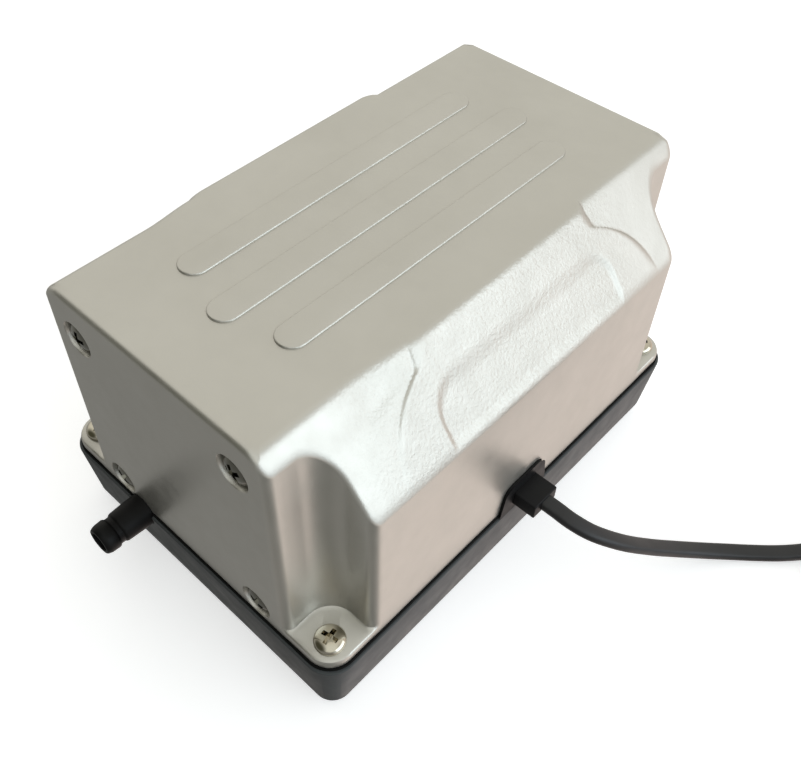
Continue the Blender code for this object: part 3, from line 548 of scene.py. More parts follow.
def smooth_route(points, steps=10):
    """Points along a Catmull-Rom curve through a route's own points."""
    route = [Vector(p) for p in points]
    route = [2 * route[0] - route[1]] + route + [2 * route[-1] - route[-2]]
    line = []
    for a, b, c, d in zip(route, route[1:], route[2:], route[3:]):
        for i in range(steps):
            t = i / steps
            first = 2 * b + (c - a) * t + (2 * a - 5 * b + 4 * c - d) * t**2
            line.append(0.5 * (first + (3 * b - a - 3 * c + d) * t**3))
    line.append(route[-2])
    return line


def rigid(piece, slot, *nodes):
    """A fixed piece that stands for CAD nodes of the root body."""
    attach(piece, "root")
    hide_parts(*nodes)
    return piece


# ---------------------------------------------------------------- lead

# The lead's middle line as far as the coil, and from the coil to the plug
CORD_ROUTE = [
    (73.0, 0.0, 36.0), (79.0, 0.0, 36.0), (85.0, 0.3, 35.4),
    (92.0, 3.6, 32.0), (99.4, 11.6, 25.2), (105.6, 22.0, 17.0),
    (111.2, 31.4, 10.8), (117.4, 40.4, 6.0), (124.2, 48.4, 3.3),
    (131.4, 55.4, 2.3), (138.2, 61.8, 2.2), (144.4, 68.8, 2.2),
    (149.8, 76.8, 2.2), (154.0, 85.5, 2.2), (157.6, 94.4, 2.2),
]
TAIL_ROUTE = [
    (235.4, 74.8, 13.4), (235.6, 65.2, 12.0), (235.4, 60.6, 10.8),
    (234.8, 55.6, 9.2), (234.2, 50.6, 8.2), (234.0, 46.4, 8.0),
    (234.0, 43.0, 8.0),
]
COIL_START = 150.0  # degrees at which the lead joins the coil
COIL_TURNS = 6 + 5 / 12
COIL_LAYERS = 4
COIL_RADII = (37.2, 27.7)
LAYER_HEIGHT = 3.9
FIRST_LAYER_Z = 2.2
POINTS_PER_TURN = 36
TIE_ANGLE = 180.0


def smooth(value):
    value = min(1.0, max(0.0, value))
    return value * value * (3 - 2 * value)


def coil_line():
    """The turns, clockwise from above: each layer spirals in or out on top of the last."""
    count = round(COIL_TURNS * POINTS_PER_TURN)
    line = []
    for i in range(count + 1):
        walked = i / count * COIL_LAYERS
        layer = min(int(walked), COIL_LAYERS - 1)
        share = walked - layer
        inwards = share if layer % 2 == 0 else 1 - share
        radius = COIL_RADII[0] + (COIL_RADII[1] - COIL_RADII[0]) * inwards
        climb = layer
        if layer:
            climb = layer - 1 + smooth(share / 0.09)
        z = FIRST_LAYER_Z + LAYER_HEIGHT * climb
        degrees = COIL_START - 360 * COIL_TURNS * i / count
        off_tie = (degrees - TIE_ANGLE + 180) % 360 - 180
        pinch = 1 - 0.12 * math.exp(-((off_tie / 9) ** 2))
        middle_z = FIRST_LAYER_Z + LAYER_HEIGHT * (COIL_LAYERS - 1) / 2 + 0.15
        z = middle_z + (z - middle_z) * pinch
        angle = math.radians(degrees)
        x = COIL_CENTRE[0] + radius * math.cos(angle)
        y = COIL_CENTRE[1] + radius * math.sin(angle)
        line.append(Vector((x, y, z)))
    return line


def cord_line():
    coil = coil_line()
    lead_in = smooth_route(CORD_ROUTE + [tuple(coil[0]), tuple(coil[2])], 8)[:-8]
    lead_out = smooth_route([tuple(coil[-3]), tuple(coil[-1])] + TAIL_ROUTE, 8)[8:]
    return lead_in[:-1] + coil + lead_out[1:]


def flat_section():
    """The lead's section: two cores side by side under one sheath, with a faint waist."""
    outline = superellipse(CORD_HALF_WIDTH, CORD_HALF_HEIGHT, 0.62, 20)
    return [(u, v * (1 - 0.05 * math.exp(-((u / 0.9) ** 2)))) for u, v in outline]


def sweep(name, line, outline, material):
    """An outline carried along a line, its first axis kept level."""
    rings = []
    for i, here in enumerate(line):
        ahead = (line[min(i + 1, len(line) - 1)] - line[max(i - 1, 0)]).normalized()
        side = ahead.cross(Vector((0, 0, 1))).normalized()
        up = side.cross(ahead)
        rings.append([tuple(here + side * u + up * v) for u, v in outline])
    return loft(name, rings, material, sharp_degrees=60)


def make_cord(finishes):
    line = cord_line()
    cord = sweep("lead", line, flat_section(), finishes["cord_sheath"])
    rigid(cord, "cord_sheath", "power_cord", "power_cord_tail", "cord_coil")
    tie = make_tie(finishes["tie_plastic"])
    plug = make_plug(finishes["plug_plastic"])
    pins = make_pins(finishes["pin_brass"])
    gland = make_gland(finishes["gland_plastic"])


def make_tie(material):
    """A strap pulled tight round the coil, at the side that faces the pump."""
    middle = (COIL_CENTRE[0] - sum(COIL_RADII) / 2, FIRST_LAYER_Z + LAYER_HEIGHT * 1.5 + 0.15)
    half_u = (COIL_RADII[0] - COIL_RADII[1]) / 2 + CORD_HALF_WIDTH + 0.1
    half_v = LAYER_HEIGHT * 1.5 * 0.88 + CORD_HALF_HEIGHT + 0.1
    y = COIL_CENTRE[1]
    rings = []
    for grow, place in ((0.8, -2.1), (0.9, -1.7), (0.9, 1.7), (0.8, 2.1), (0.0, 2.1), (0.0, -2.1)):
        outline = rounded_rectangle(half_u + grow, half_v + grow, 2.6 + grow, 8, middle)
        rings.append([(u, y + place, v) for u, v in outline])
    tie = loft("strap", rings, material, closed=True)
    lock = rounded_rectangle(2.6, 2.9, 0.6, 3, (middle[0] - half_u - 2.2, middle[1] + 1.0))
    head = soft_prism("strap_lock", lock, (y - 2.8, y + 2.8), "Y", 0.5, material)
    made = merged("cord_strap", [tie, head], material)
    made.data.shade_smooth()
    made.data.set_sharp_from_angle(angle=math.radians(35))
    return rigid(made, "tie_plastic", "cord_tie")


PLUG_X = 234.0
PLUG_Z = 8.0
PLUG_FRONT_Y = -4.0
PIN_X = 9.5  # from the plug's middle
PIN_RADIUS = 2.0


def make_plug(material):
    """A flat two-pin plug with a waist to hold it by and a ribbed boot on the lead."""
    body = [
        (0.0, 11.8, 6.8),
        (0.35, 12.5, 7.5),
        (1.2, 13.1, 7.9),
        (6.0, 13.2, 8.0),
        (13.0, 12.6, 7.9),
        (18.0, 12.9, 7.9),
        (23.0, 12.6, 7.8),
        (28.0, 11.4, 7.3),
        (33.0, 9.2, 6.6),
        (36.5, 6.8, 5.6),
        (38.0, 5.4, 4.9),
    ]
    boot = []
    for i in range(5):
        start = 38.6 + 2.2 * i
        shrink = 0.24 * i
        boot += [
            (start, 4.9 - shrink, 4.6 - shrink),
            (start + 1.2, 4.9 - shrink, 4.6 - shrink),
            (start + 1.5, 4.2 - shrink, 3.9 - shrink),
            (start + 1.9, 4.2 - shrink, 3.9 - shrink),
        ]
    rings = []
    for y, half_x, half_z in body + boot:
        outline = superellipse(half_x, half_z, 0.5 if y < 34 else 0.75, 48)
        rings.append([(PLUG_X + u, PLUG_FRONT_Y + y, PLUG_Z + v) for u, v in outline])
    return rigid(loft("plug_body", rings, material, sharp_degrees=40), "plug_plastic", "mains_plug")


def make_pins(material):
    pins = []
    for number, side in enumerate((-1, 1), 1):
        root = PLUG_FRONT_Y
        profile = [
            (0.4, root - 19.3),
            (1.2, root - 19.1),
            (1.75, root - 18.6),
            (PIN_RADIUS, root - 17.8),
            (PIN_RADIUS, root + 1.0),
        ]
        place = (PLUG_X + side * PIN_X, 0, PLUG_Z)
        pin = turned(f"contact_pin_{number}", profile, place, "Y", material, 32)
        pins.append(rigid(pin, "pin_brass", f"plug_pin_{number}"))
    return pins


def make_gland(material):
    """The square strain relief: a block on an arched flange, with its neck through the wall."""
    face = TRAY_HALF_WIDTH
    block = rounded_rectangle(6.0, 3.1, 0.7, 4, (0.0, 35.5))
    body = soft_prism("strain_relief", block, (face - 1.0, 74.3), "X", 0.45, material)
    throat = rounded_rectangle(4.1, 2.4, 0.5, 3, (0.0, 36.0))
    neck = soft_prism("gland_neck", throat, (58.0, face - 0.5), "X", 0.3, material)
    flange = soft_prism("flange", gland_arch(0.0)[::-1], (face - 2.7, face - 0.1), "X", 0.6, material)
    combine(body, flange, "UNION")
    combine(body, neck, "UNION")
    return rigid(body, "gland_plastic", "cord_gland")


# ---------------------------------------------------------------- housing


def crease_y(depth):
    """Half length of the raised middle of the slope, at a depth below the top: it flares."""
    straight = CREASE_TOP_Y + CREASE_LEAN * min(CREASE_BEND_DEPTH, max(0.0, depth))
    below_bend = max(0.0, depth - CREASE_BEND_DEPTH)
    return straight + CREASE_FLARE * (1 - math.exp(-below_bend / CREASE_FLARE_DEPTH))


def pocket(x, y):
    """Depth share of the shallow pocket in a slope, 0 outside it and 1 on its floor."""
    down = (x - POCKET_TOP_X) * 1.6
    along = abs(y - SLOPE_MIDDLE_Y) - (POCKET_HALF_LENGTH - POCKET_CORNER)
    inner = POCKET_CORNER - down
    if along > 0 and inner > 0:
        reach = math.hypot(along, inner)
        inside = POCKET_CORNER - reach
        sideways = along / reach
    else:
        inside = min(down, POCKET_CORNER - along)
        sideways = 0.0 if along <= 0 else 1.0
    width = POCKET_TOP_WIDTH + (POCKET_SIDE_WIDTH - POCKET_TOP_WIDTH) * sideways
    fade = smooth((HALF_WIDTH - x) / 3.0)
    return smooth(inside / width) * fade


def soft_minimum(a, b, blend):
    overlap = max(blend - abs(a - b), 0.0) / blend
    return min(a, b) - overlap * overlap * blend / 4


def raised_share(depth, y):
    """How far a slope has risen from its low end plane, 0, to its raised middle, 1.

    A small sharp step and a rounded ramp follow the crease. On the near side the slope
    already climbs gently before it.
    """
    inside = crease_y(depth) - abs(y - SLOPE_MIDDLE_Y)
    width = 5.4 - 2.2 * smooth(depth / 9.0)
    ramp = min(1.0, max(0.0, inside / width))
    share = CREASE_STEP * smooth(inside / 1.1) + (1 - CREASE_STEP) * (1 - (1 - ramp) ** 2)
    if y < SLOPE_MIDDLE_Y:
        approach = 0.55 * smooth(1 + inside / 18.0)
        share = approach + (1 - approach) * share
    return share


def roof_height(x, y):
    """The roof over a place: the flat top, the slopes, their raised middles and pockets."""
    x = abs(x)
    rise = TOP_Z - SHOULDER_Z
    end_plane = SHOULDER_Z + (HALF_WIDTH - x) * rise / (HALF_WIDTH - END_TOP_HALF_WIDTH)
    mid_plane = SHOULDER_Z + (HALF_WIDTH - x) * rise / (HALF_WIDTH - MID_TOP_HALF_WIDTH)
    share = raised_share(TOP_Z - min(TOP_Z, mid_plane), y)
    slope = end_plane + (mid_plane - end_plane) * share
    slope -= POCKET_DEPTH * pocket(x, y)
    return soft_minimum(TOP_Z, slope, ROOF_BLEND)


def mixed(a, b, share):
    return (a[0] + (b[0] - a[0]) * share, a[1] + (b[1] - a[1]) * share)


def along_path(path, share):
    lengths = [math.dist(p, q) for p, q in zip(path, path[1:])]
    left = share * sum(lengths)
    for p, q, length in zip(path, path[1:], lengths):
        if left <= length:
            return mixed(p, q, left / length)
        left -= length
    return path[-1]


def quarter_columns():
    """The wall for x > 0 and y < 0, from front middle to side middle.

    Each column is (wall point, inward normal, lug point, end of the roof line).
    """
    outer, inner = FLUTE_OUTER_RADIUS, FLUTE_INNER_RADIUS
    roof_x, roof_y, roof_corner = END_TOP_HALF_WIDTH - 3.4, HALF_LENGTH - 6.5, 2.0
    front_end = FLUTE_X - outer
    columns = []
    for i in range(12):
        x = front_end * i / 12
        end = ((roof_x - roof_corner) * i / 12, -roof_y)
        columns.append(((x, -HALF_LENGTH), (0, 1), (x, -HALF_LENGTH), end))

    walls = []
    for x, y in arc((0, 0), 1.0, -90, 0, 8):
        middle = (front_end, -HALF_LENGTH + outer)
        walls.append(((middle[0] + outer * x, middle[1] + outer * y), (-x, -y)))
    corner_count = len(walls)
    flute_middle = (FLUTE_X + inner, -FLUTE_Y - inner)
    for i in range(1, 4):
        y = -HALF_LENGTH + outer + (flute_middle[1] + HALF_LENGTH - outer) * i / 4
        walls.append(((FLUTE_X, y), (-1, 0)))
    for x, y in arc((0, 0), 1.0, 180, 90, 14):
        walls.append(((flute_middle[0] + inner * x, flute_middle[1] + inner * y), (x, y)))
    last_middle = (HALF_WIDTH - outer, -FLUTE_Y + outer)
    for i in range(1, 5):
        x = flute_middle[0] + (last_middle[0] - flute_middle[0]) * i / 5
        walls.append(((x, -FLUTE_Y), (0, 1)))
    for x, y in arc((0, 0), 1.0, -90, 0, 8):
        walls.append(((last_middle[0] + outer * x, last_middle[1] + outer * y), (-x, -y)))

    lug_middle = (HALF_WIDTH - LUG_RADIUS, -HALF_LENGTH + LUG_RADIUS)
    lug = [(front_end, -HALF_LENGTH)] + arc(lug_middle, LUG_RADIUS, -90, 0, 24)
    lug.append((HALF_WIDTH, last_middle[1]))
    roof_end = [
        (roof_x - roof_corner + roof_corner * c, -roof_y + roof_corner + roof_corner * s)
        for c, s in arc((0, 0), 1.0, -90, 0, corner_count - 1)
    ]
    arc_end = len(walls) - 13
    for start_y, end_y, steps in (
        (roof_end[-1][1], last_middle[1], arc_end - corner_count),
        (last_middle[1], last_middle[1] * 0.97, 5),
        (last_middle[1] * 0.97, last_middle[1] * ROOF_FAN, 8),
    ):
        for i in range(1, steps + 1):
            roof_end.append((roof_x, start_y + (end_y - start_y) * i / steps))
    for i, (wall, normal) in enumerate(walls):
        share = i / (len(walls) - 1)
        columns.append((wall, normal, along_path(lug, share), roof_end[i]))

    spans = (
        (last_middle[1], FINE_COLUMNS_TO_Y, FINE_COLUMN_STEP),
        (FINE_COLUMNS_TO_Y, 0.0, COARSE_COLUMN_STEP),
    )
    for start, end, spacing in spans:
        steps = round((end - start) / spacing)
        for i in range(1, steps + 1):
            y = start + (end - start) * i / steps
            wall = (HALF_WIDTH, y)
            columns.append((wall, (-1, 0), wall, (roof_x, y * ROOF_FAN)))
    return columns


def flipped(column, sx, sy):
    return tuple((x * sx, y * sy) for x, y in column)


def all_round(quarter):
    """A full ring of columns from a quarter, mirrored along and then across the housing."""
    right = quarter + [flipped(column, 1, -1) for column in quarter[-2::-1]]
    return right + [flipped(column, -1, 1) for column in right[-2:0:-1]]


def outer_column(column):
    """All points of one column, from under the casting up the wall and over the roof."""
    wall, normal, lug, roof_end = column
    reach = math.dist(wall, lug)
    foot = min(1.0, reach / 4.0)
    out = ((lug[0] - wall[0]) / reach, (lug[1] - wall[1]) / reach) if reach > 1e-6 else (0, 0)

    def off_wall(amount):
        return (wall[0] + out[0] * amount, wall[1] + out[1] * amount)

    low, top = CASTING_Z, LUG_TOP_Z
    points = [
        (*off_wall(reach - 0.3 * foot), low),
        (*off_wall(reach), low + 0.35),
        (*off_wall(reach), top - 1.1),
        (*off_wall(reach - 0.33 * foot), top - 0.35),
        (*off_wall(reach - 1.1 * foot), top),
        (*off_wall(1.8 * foot), top + 0.3 * (1 - foot)),
        (*off_wall(0.55 * foot), top + 0.55),
        (*off_wall(0.0), top + 1.9),
    ]
    radius = EDGE_RADIUS

    def inwards(amount):
        return (wall[0] + normal[0] * amount, wall[1] + normal[1] * amount)

    climb = (roof_height(*inwards(0.5)) - roof_height(*inwards(0.0))) / 0.5
    drop = radius / math.hypot(1.0, climb)
    wall_top = roof_height(*wall) - drop
    for share in (0.25, 0.5, 0.75):
        points.append((*wall, top + 1.9 + (wall_top - top - 1.9) * share))
    for i in range(7):
        a = math.pi / 2 * i / 6
        x, y = inwards(radius * (1 - math.cos(a)))
        points.append((x, y, roof_height(x, y) - drop * (1 - math.sin(a))))
    start = inwards(radius)
    for i in range(1, ROOF_ROWS + 1):
        x, y = mixed(start, roof_end, i / ROOF_ROWS)
        points.append((x, y, roof_height(x, y)))
    return points


def inner_column(column):
    """The cavity's side of a column, from the roof's underside down to the open bottom."""
    wall, normal, _, roof_end = column
    thick = END_WALL if abs(wall[1]) > HALF_LENGTH - 0.01 else SIDE_WALL
    x = wall[0] + normal[0] * thick
    y = wall[1] + normal[1] * thick
    limit = HALF_LENGTH - END_WALL
    y = max(-limit, min(limit, y))
    roof = (roof_end[0] * 0.97, roof_end[1] * 0.985)
    rise = min(roof_height(x, y) - ROOF_WALL, TOP_Z - TOP_WALL)
    middle = mixed((x, y), roof, 0.5)
    arch = min(roof_height(*middle) - ROOF_WALL, TOP_Z - TOP_WALL)
    return [(*roof, TOP_Z - TOP_WALL), (*middle, arch), (x, y, rise), (x, y, CASTING_Z)]


def gland_arch(grow):
    """The arched flange that the lead comes through, seen along X."""
    foot, top = 11.2 + grow, 9.2 + grow
    high = 42.8 + grow
    low = SEAM_Z + 0.15 - 8 * grow
    outline = [(foot + 0.4, low), (foot + 0.2, SEAM_Z + 1.8)]
    outline += arc((top - 3.4, high - 4.4), 4.4, 22, 90, 8)
    return outline + [(-u, v) for u, v in outline[::-1]]


def housing_cutters(material):
    tools = []
    for end in (-1, 1):
        for x in (-END_SCREW_X, END_SCREW_X):
            for z in END_SCREW_Z:
                face = HALF_LENGTH
                profile = [
                    (RECESS_RADIUS + 1.3, face + 1.0),
                    (RECESS_RADIUS + 0.3, face),
                    (RECESS_RADIUS, face - 0.4),
                    (RECESS_RADIUS, face - RECESS_DEPTH),
                    (2.6, face - RECESS_DEPTH),
                    (2.6, face - END_WALL - 1.0),
                ]
                profile = [(radius, end * place) for radius, place in profile]
                tools.append(turned("tool", profile, (x, 0, z), "Y", material, 40))
    for place in corners(LUG_SCREW):
        tools.append(rod("tool", 2.7, (CASTING_Z - 1, LUG_TOP_Z + 2), place, "Z", material))
    tools.append(prism("tool", gland_arch(0.25), (60.0, 66.0), "X", material))
    span = (-HALF_LENGTH - 1, -HALF_LENGTH + END_WALL + 1)
    collar = rod("tool", NOZZLE_MOUTH_RADIUS, span, NOZZLE_PLACE, "Y", material, 40)
    return merged("housing_tools", tools, material), collar


def make_housing(material):
    """The casting: an outer and an inner skin joined at the open bottom, ribbed and bored."""
    columns = all_round(quarter_columns())
    sides = [outer_column(column) + inner_column(column) for column in columns]
    count, rows = len(columns), len(sides[0])
    points = [side[row] for row in range(rows) for side in sides]
    faces = ring_faces(rows, count, True)
    seam = len(outer_column(columns[0]))  # the first row of the inner skin
    del faces[(seam - 1) * count : seam * count]
    for row in (seam - 1, seam):
        faces.append(tuple(row * count + j for j in range(count)))
    housing = add_mesh("cast_housing", points, faces, material, 40)
    ribs = []
    for x, half_length in RIBS:
        outline = arc((x, half_length - RIB_HALF_WIDTH), RIB_HALF_WIDTH, 0, 180, 20)
        outline += arc((x, -half_length + RIB_HALF_WIDTH), RIB_HALF_WIDTH, 180, 360, 20)
        span = (TOP_Z - 0.8, TOP_Z + RIB_HEIGHT)
        ribs.append(soft_prism("rib", outline, span, "Z", 0.5, material, 3, (False, True)))
    combine(housing, merged("ribs", ribs, material), "UNION", 40)
    for tool in housing_cutters(material):
        combine(housing, tool, "DIFFERENCE", 40)
    return rigid(housing, "cast_housing", "upper_housing")


# ---------------------------------------------------------------- base tray, feet and seal


def tray_outline(z, shrink):
    share = (SEAM_Z - z) / (SEAM_Z - FOOT_HEIGHT)
    shrink += TRAY_TAPER * share
    half_x, half_y = TRAY_HALF_WIDTH - shrink, TRAY_HALF_LENGTH - shrink
    radius = max(0.6, TRAY_RADIUS - shrink)
    return [(x, y, z) for x, y in rounded_rectangle(half_x, half_y, radius, 14)]


def tray_bosses(material):
    """The screw posts, and the thickening of the wall behind the nozzle."""
    pieces = []
    for place in corners(LUG_SCREW):
        span = (FOOT_HEIGHT + 2.0, SEAM_Z - 0.4)
        pieces.append(rod("post", 6.0, span, place, "Z", material, 32))
    front = -TRAY_HALF_LENGTH
    middle, foot, top = NOZZLE_PLACE[0], PAD_HALF_WIDTH, PAD_HALF_WIDTH + 2.0
    pad = [(middle - foot, 9.0), (middle + foot, 9.0)]
    pad += [(middle + top, SEAM_Z - 0.2), (middle - top, SEAM_Z - 0.2)]
    pieces.append(soft_prism("pad", pad, (front + 1.9, front + 4.0), "Y", 0.5, material, 3))
    return pieces


def tray_cutters(material):
    floor_top = FOOT_HEIGHT + TRAY_FLOOR
    tools = []
    through = (FOOT_HEIGHT - 1.0, floor_top + 1.0)
    for place in corners(LUG_SCREW):
        tools.append(rod("tool", 2.5, (13.0, SEAM_Z + 1.0), place, "Z", material))
    for place in corners(FOOT_PLACE):
        tools.append(rod("tool", 3.3, through, place, "Z", material))
    span = (-TRAY_HALF_LENGTH - 3.0, -TRAY_HALF_LENGTH + 8.0)
    tools.append(rod("tool", NOZZLE_MOUTH_RADIUS, span, NOZZLE_PLACE, "Y", material, 48))
    fx, fy, hx, hy = FILTER_WINDOW
    window = rounded_rectangle(hx, hy, 0.8, 3, (fx, fy))
    tools.append(prism("tool", window, through, "Z", material))
    return merged("tray_tools", tools, material)


def make_tray(material):
    """The open tray: rounded under edge, tapered wall, rim, and its inside down to the floor."""
    floor_top = FOOT_HEIGHT + TRAY_FLOOR
    rings = []
    for i in range(6):
        a = math.pi / 2 * i / 5
        z = FOOT_HEIGHT + TRAY_EDGE * (1 - math.cos(a))
        rings.append(tray_outline(z, TRAY_EDGE * (1 - math.sin(a))))
    for i in range(5):
        a = math.pi / 2 * i / 4
        z = SEAM_Z - 0.5 * (1 - math.sin(a))
        rings.append(tray_outline(z, 0.5 * (1 - math.cos(a))))
    rings.append(tray_outline(SEAM_Z, TRAY_WALL))
    rings.append(tray_outline(floor_top + 1.0, TRAY_WALL))
    rings.append(tray_outline(floor_top, TRAY_WALL + 1.0))
    tray = loft("moulded_tray", rings, material)
    for boss in tray_bosses(material):
        combine(tray, boss, "UNION")
    combine(tray, tray_cutters(material), "DIFFERENCE")
    return rigid(tray, "base_plastic", "base_tray")


def make_feet(material):
    """A round foot in each corner, with a stem that snaps into the tray's floor."""
    floor_top = FOOT_HEIGHT + TRAY_FLOOR
    profile = [
        (4.0, 0.4),
        (5.0, 0.0),
        (8.0, 0.0),
        (8.7, 0.25),
        (9.0, 0.9),
        (9.0, FOOT_HEIGHT - 0.3),
        (2.9, FOOT_HEIGHT - 0.3),
        (2.9, floor_top + 0.3),
        (4.2, floor_top + 0.3),
        (3.0, floor_top + 2.2),
    ]
    for number, place in enumerate(corners(FOOT_PLACE), 1):
        foot = turned(f"foot_{number}", profile, place, "Z", material, 40)
        rigid(foot, "foot_rubber", f"rubber_foot_{number}")


def make_seal(material):
    """The sheet seal; its lip covers the tray's ledge and shows as a black line."""
    low, high = SEAM_Z + 0.25, CASTING_Z - 0.15
    outer = rounded_rectangle(TRAY_HALF_WIDTH - SEAL_LIP, TRAY_HALF_LENGTH - SEAL_LIP, 9.3, 14)
    inner = rounded_rectangle(HALF_WIDTH - 2.8, HALF_LENGTH - 4.0, 6.0, 14)
    rings = [[(x, y, low) for x, y in outer], [(x, y, high) for x, y in outer]]
    rings += [[(x, y, high) for x, y in inner], [(x, y, low) for x, y in inner]]
    seal = loft("sheet_seal", rings, material, closed=True)
    tools = []
    for place in corners(LUG_SCREW):
        combine(seal, rod("eyelet", 5.0, (low, high), place, "Z", material), "UNION")
        tools.append(rod("tool", 2.6, (low - 1, high + 1), place, "Z", material))
    span = (TRAY_HALF_WIDTH - 2.8, TRAY_HALF_WIDTH + 1.0)
    tools.append(prism("tool", gland_arch(0.2), span, "X", material))
    span = (-HALF_LENGTH - 3.0, -HALF_LENGTH + 8.0)
    tools.append(rod("tool", NOZZLE_MOUTH_RADIUS + 0.2, span, NOZZLE_PLACE, "Y", material, 48))
    combine(seal, merged("seal_tools", tools, material), "DIFFERENCE")
    return rigid(seal, "seal_rubber", "housing_seal")


# ---------------------------------------------------------------- screws and nozzle


def make_screw(name, node, seat, direction, length, turn, material):
    """A cross-recessed pan-head screw, seated at a place under its head."""
    profile = [(0.3, -length), (2.1, -length + 2.4), (2.2, -length + 2.8), (2.2, 0.0)]
    profile += [(SCREW_HEAD_RADIUS - 0.25, 0.0), (SCREW_HEAD_RADIUS, 0.25)]
    for i in range(9):
        a = math.pi / 2 * i / 8 * 0.94
        profile.append((SCREW_HEAD_RADIUS * math.cos(a) ** 0.8, 0.7 + 2.2 * math.sin(a)))
    screw = turned(name, profile, (0, 0, 0), "Z", material, 48)
    slots = []
    for quarter in range(2):
        rings = []
        for half_u, half_v, z in SLOT_LEVELS:
            corners = ((-half_u, -half_v), (half_u, -half_v), (half_u, half_v), (-half_u, half_v))
            flip = [(u, v) if quarter == 0 else (-v, u) for u, v in corners]
            rings.append([(u, v, z) for u, v in flip])
        slots.append(loft("slot", rings, material))
    combine(slots[0], slots[1], "UNION")
    combine(screw, slots[0], "DIFFERENCE", 30)
    facing = Vector(direction).to_track_quat("Z", "Y").to_matrix().to_4x4()
    spin = Matrix.Rotation(math.radians(turn), 4, "Z")
    lift = Matrix.Translation((0, -MIDDLE_Y, 0))
    place = Matrix.Translation(at(*seat))
    screw.data.transform(place @ facing @ spin @ lift)
    return rigid(screw, "screw_nickel", node)


def make_screws(bright, shade_painted_nickel):
    """Four screws in the lugs and four in each end, each turned to its own angle in degrees. The end
    screws take a darker copy of the nickel, painted shade for their recesses.
    """
    turns = iter((20, 65, 10, 35, 50, 5, 75, 30, 15, 60, 40, 80))
    for number, (x, y, _) in enumerate(corners(LUG_SCREW), 1):
        seat = (x, y, LUG_TOP_Z + 0.05)
        name, node = f"corner_screw_{number}", f"lug_screw_{number}"
        make_screw(name, node, seat, (0, 0, 1), LUG_SCREW_LENGTH, next(turns), bright)
    places = [(x, z) for x in (-END_SCREW_X, END_SCREW_X) for z in END_SCREW_Z]
    for end, side in ((-1, "front"), (1, "rear")):
        for number, (x, z) in enumerate(places, 1):
            seat = (x, end * (HALF_LENGTH - RECESS_DEPTH + 0.05), z)
            name, node = f"{side}_cover_screw_{number}", f"{side}_screw_{number}"
            # the end screws get the darker nickel: painted shade for the recesses they sit in
            make_screw(name, node, seat, (0, end, 0), COVER_SCREW_LENGTH, next(turns), shade_painted_nickel)


def make_nozzle(material):
    """The outlet: a lip, a groove and a tapered body, with a tail inside for the hose."""
    tip = NOZZLE_TIP_Y
    shoulder = -HALF_LENGTH + END_WALL - 0.3
    profile = [
        (3.6, tip + 0.4),
        (3.8, tip + 0.1),
        (4.1, tip),
        (4.6, tip + 0.1),
        (4.9, tip + 0.4),
        (5.3, tip + 1.5),
        (5.4, tip + 2.2),
        (5.5, tip + 4.7),
        (5.3, tip + 5.2),
        (4.9, tip + 5.6),
        (4.9, tip + 7.2),
        (5.3, tip + 7.6),
        (5.5, tip + 8.1),
        (NOZZLE_RADIUS, tip + 14.0),
        (NOZZLE_RADIUS, shoulder),
        (4.6, shoulder),
        (4.6, NOZZLE_TAIL_Y),
        (3.6, NOZZLE_TAIL_Y),
    ]
    nozzle = turned("hose_nozzle", profile, NOZZLE_PLACE, "Y", material, 64, closed=True)
    return rigid(nozzle, "nozzle_plastic", "outlet_nozzle")


# ---------------------------------------------------------------- diaphragms


def make_diaphragm(side, end, material):
    """A rolled rubber disc with a clamped rim, in place of the CAD diaphragm."""
    outer, inner = DIAPHRAGM_Y
    span = FOLD_OUTER_RADIUS - FOLD_INNER_RADIUS
    shares = [i / 16 for i in range(17)]
    fold = [(FOLD_INNER_RADIUS + span * t, math.sin(math.pi * t)) for t in shares]
    outline = [(HUB_HOLE_RADIUS, 0.0), (FOLD_INNER_RADIUS - 2.5, 0.0)]
    outline += fold + [(DIAPHRAGM_RADIUS, 0.0)]
    profile = [(radius, end * (outer + FOLD_RISE * rise)) for radius, rise in outline]
    profile += [(radius, end * (inner + FOLD_RISE * rise)) for radius, rise in outline[::-1]]
    disc = turned(f"{side}_rolled_disc", profile, (0, 0, AXIS_Z), "Y", material, 72, closed=True)
    bend_by_radius(disc)
    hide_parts(f"{side}_diaphragm")


def bend_by_radius(disc):
    """Lay a disc's points along X by their radius from the axis, bake its transform, then put the
    points back.
    """
    places = [vertex.co.copy() for vertex in disc.data.vertices]
    axis = at(0, 0, AXIS_Z)
    for vertex in disc.data.vertices:
        radius = math.hypot(vertex.co.x - axis[0], vertex.co.z - axis[2])
        vertex.co = (radius, 0, 0)
    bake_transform(disc)
    for vertex, place in zip(disc.data.vertices, places):
        vertex.co = place


# ---------------------------------------------------------------- pieces kept from the CAD


def dress_inner_pieces(finishes):
    """The works inside keep their CAD shapes, with broken edges and real finishes."""
    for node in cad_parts.values():
        if node.hide_render:
            continue
        slot = node.data.materials[0].name
        node.data.materials.clear()
        node.data.materials.append(finishes[slot])
        node.data.shade_smooth()
        weld = node.modifiers.new("weld", "WELD")
        weld.merge_threshold = 0.00001
        edges = node.modifiers.new("edges", "BEVEL")
        edges.width = 0.0003
        edges.segments = 2
        edges.limit_method = "ANGLE"
        edges.angle_limit = math.radians(35)
        edges.use_clamp_overlap = True
        edges.harden_normals = True


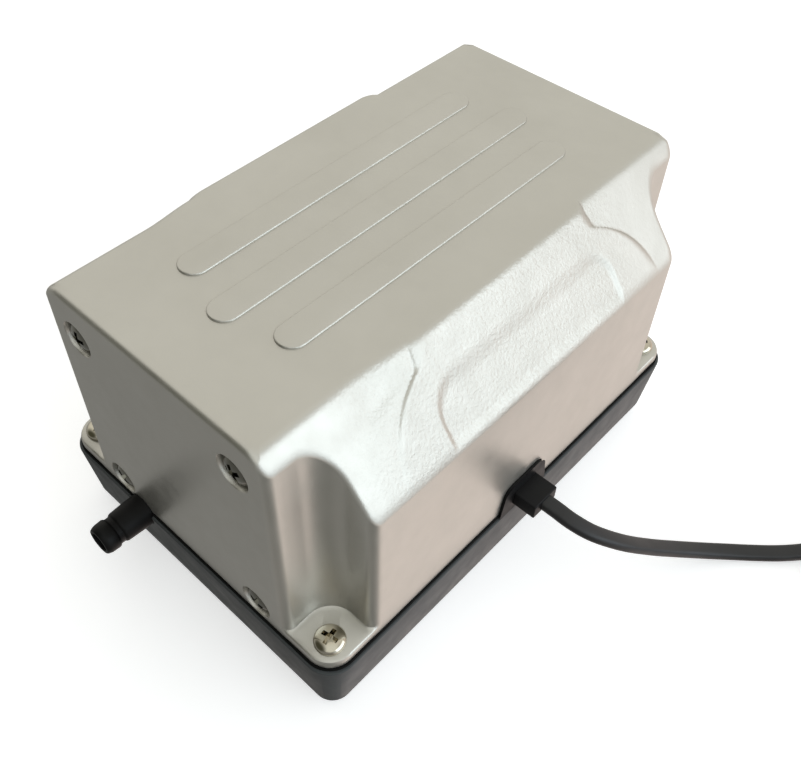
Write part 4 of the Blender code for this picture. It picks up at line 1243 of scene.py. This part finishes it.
def main():
    make_camera()
    make_world()
    make_stage()
    make_window()
    finishes = {
        "cast_housing": cast_paint(),
        "base_plastic": finish("tray_plastic", (0.060, 0.066, 0.068), 0.5, shine=0.25),
        "seal_rubber": finish("seal_sheet", (0.006, 0.006, 0.006), 0.8, shine=0.1),
        "foot_rubber": finish("foot_sheet", (0.012, 0.012, 0.012), 0.8, shine=0.2),
        "screw_nickel": finish("bright_nickel", (0.55, 0.51, 0.42), 0.1, 1.0, depth=0.000003),
        # a darker copy of the screw nickel, painted shade for the cover screws in their end recesses
        "recess_shaded_nickel": finish("recess_shaded_nickel", (0.20, 0.195, 0.165), 0.12, 1.0, depth=0.000003),
        "nozzle_plastic": finish("nozzle_black", (0.004, 0.004, 0.004), 0.45, shine=0.16),
        "gland_plastic": finish("gland_black", (0.006, 0.006, 0.0065), 0.5, shine=0.2),
        "cord_sheath": finish("lead_sheath", (0.020, 0.020, 0.021), 0.42, grain=2500, shine=0.4),
        "tie_plastic": finish("strap_black", (0.010, 0.010, 0.010), 0.45),
        "plug_plastic": finish("plug_black", (0.014, 0.014, 0.014), 0.45),
        "pin_brass": finish("pin_nickel", (0.66, 0.62, 0.52), 0.22, 1.0, depth=0.000003),
        "inner_casting": finish("raw_casting", (0.42, 0.42, 0.41), 0.45, 0.9, 700, 0.00006),
        "armature_alloy": finish("machined_alloy", (0.55, 0.55, 0.55), 0.3, 1.0),
        "diaphragm_rubber": finish("diaphragm_black", (0.015, 0.015, 0.015), 0.7),
        "hose_rubber": finish("hose_black", (0.016, 0.016, 0.016), 0.6),
        "head_plastic": finish("head_white", (0.56, 0.56, 0.52), 0.5),
        "chamber_plastic": finish("chamber_grey", (0.40, 0.40, 0.38), 0.5),
        "core_steel": finish("core_laminations", (0.25, 0.25, 0.26), 0.45, 0.9),
        "clamp_steel": finish("zinc_plate", (0.50, 0.50, 0.49), 0.35, 1.0),
        "bobbin_nylon": finish("bobbin_cream", (0.55, 0.50, 0.38), 0.5),
        "winding_copper": finish("copper_wire", (0.42, 0.13, 0.035), 0.35, 0.9),
        "magnet_ferrite": finish("ferrite_grey", (0.05, 0.05, 0.055), 0.55),
        "filter_felt": finish("felt_white", (0.60, 0.60, 0.57), 0.95, grain=2200, depth=0.0002),
    }
    make_cord(finishes)
    make_housing(finishes["cast_housing"])
    make_tray(finishes["base_plastic"])
    make_feet(finishes["foot_rubber"])
    make_seal(finishes["seal_rubber"])
    make_screws(finishes["screw_nickel"], finishes["recess_shaded_nickel"])
    make_nozzle(finishes["nozzle_plastic"])
    make_diaphragm("front", -1, finishes["diaphragm_rubber"])
    make_diaphragm("rear", 1, finishes["diaphragm_rubber"])
    dress_inner_pieces(finishes)


main()
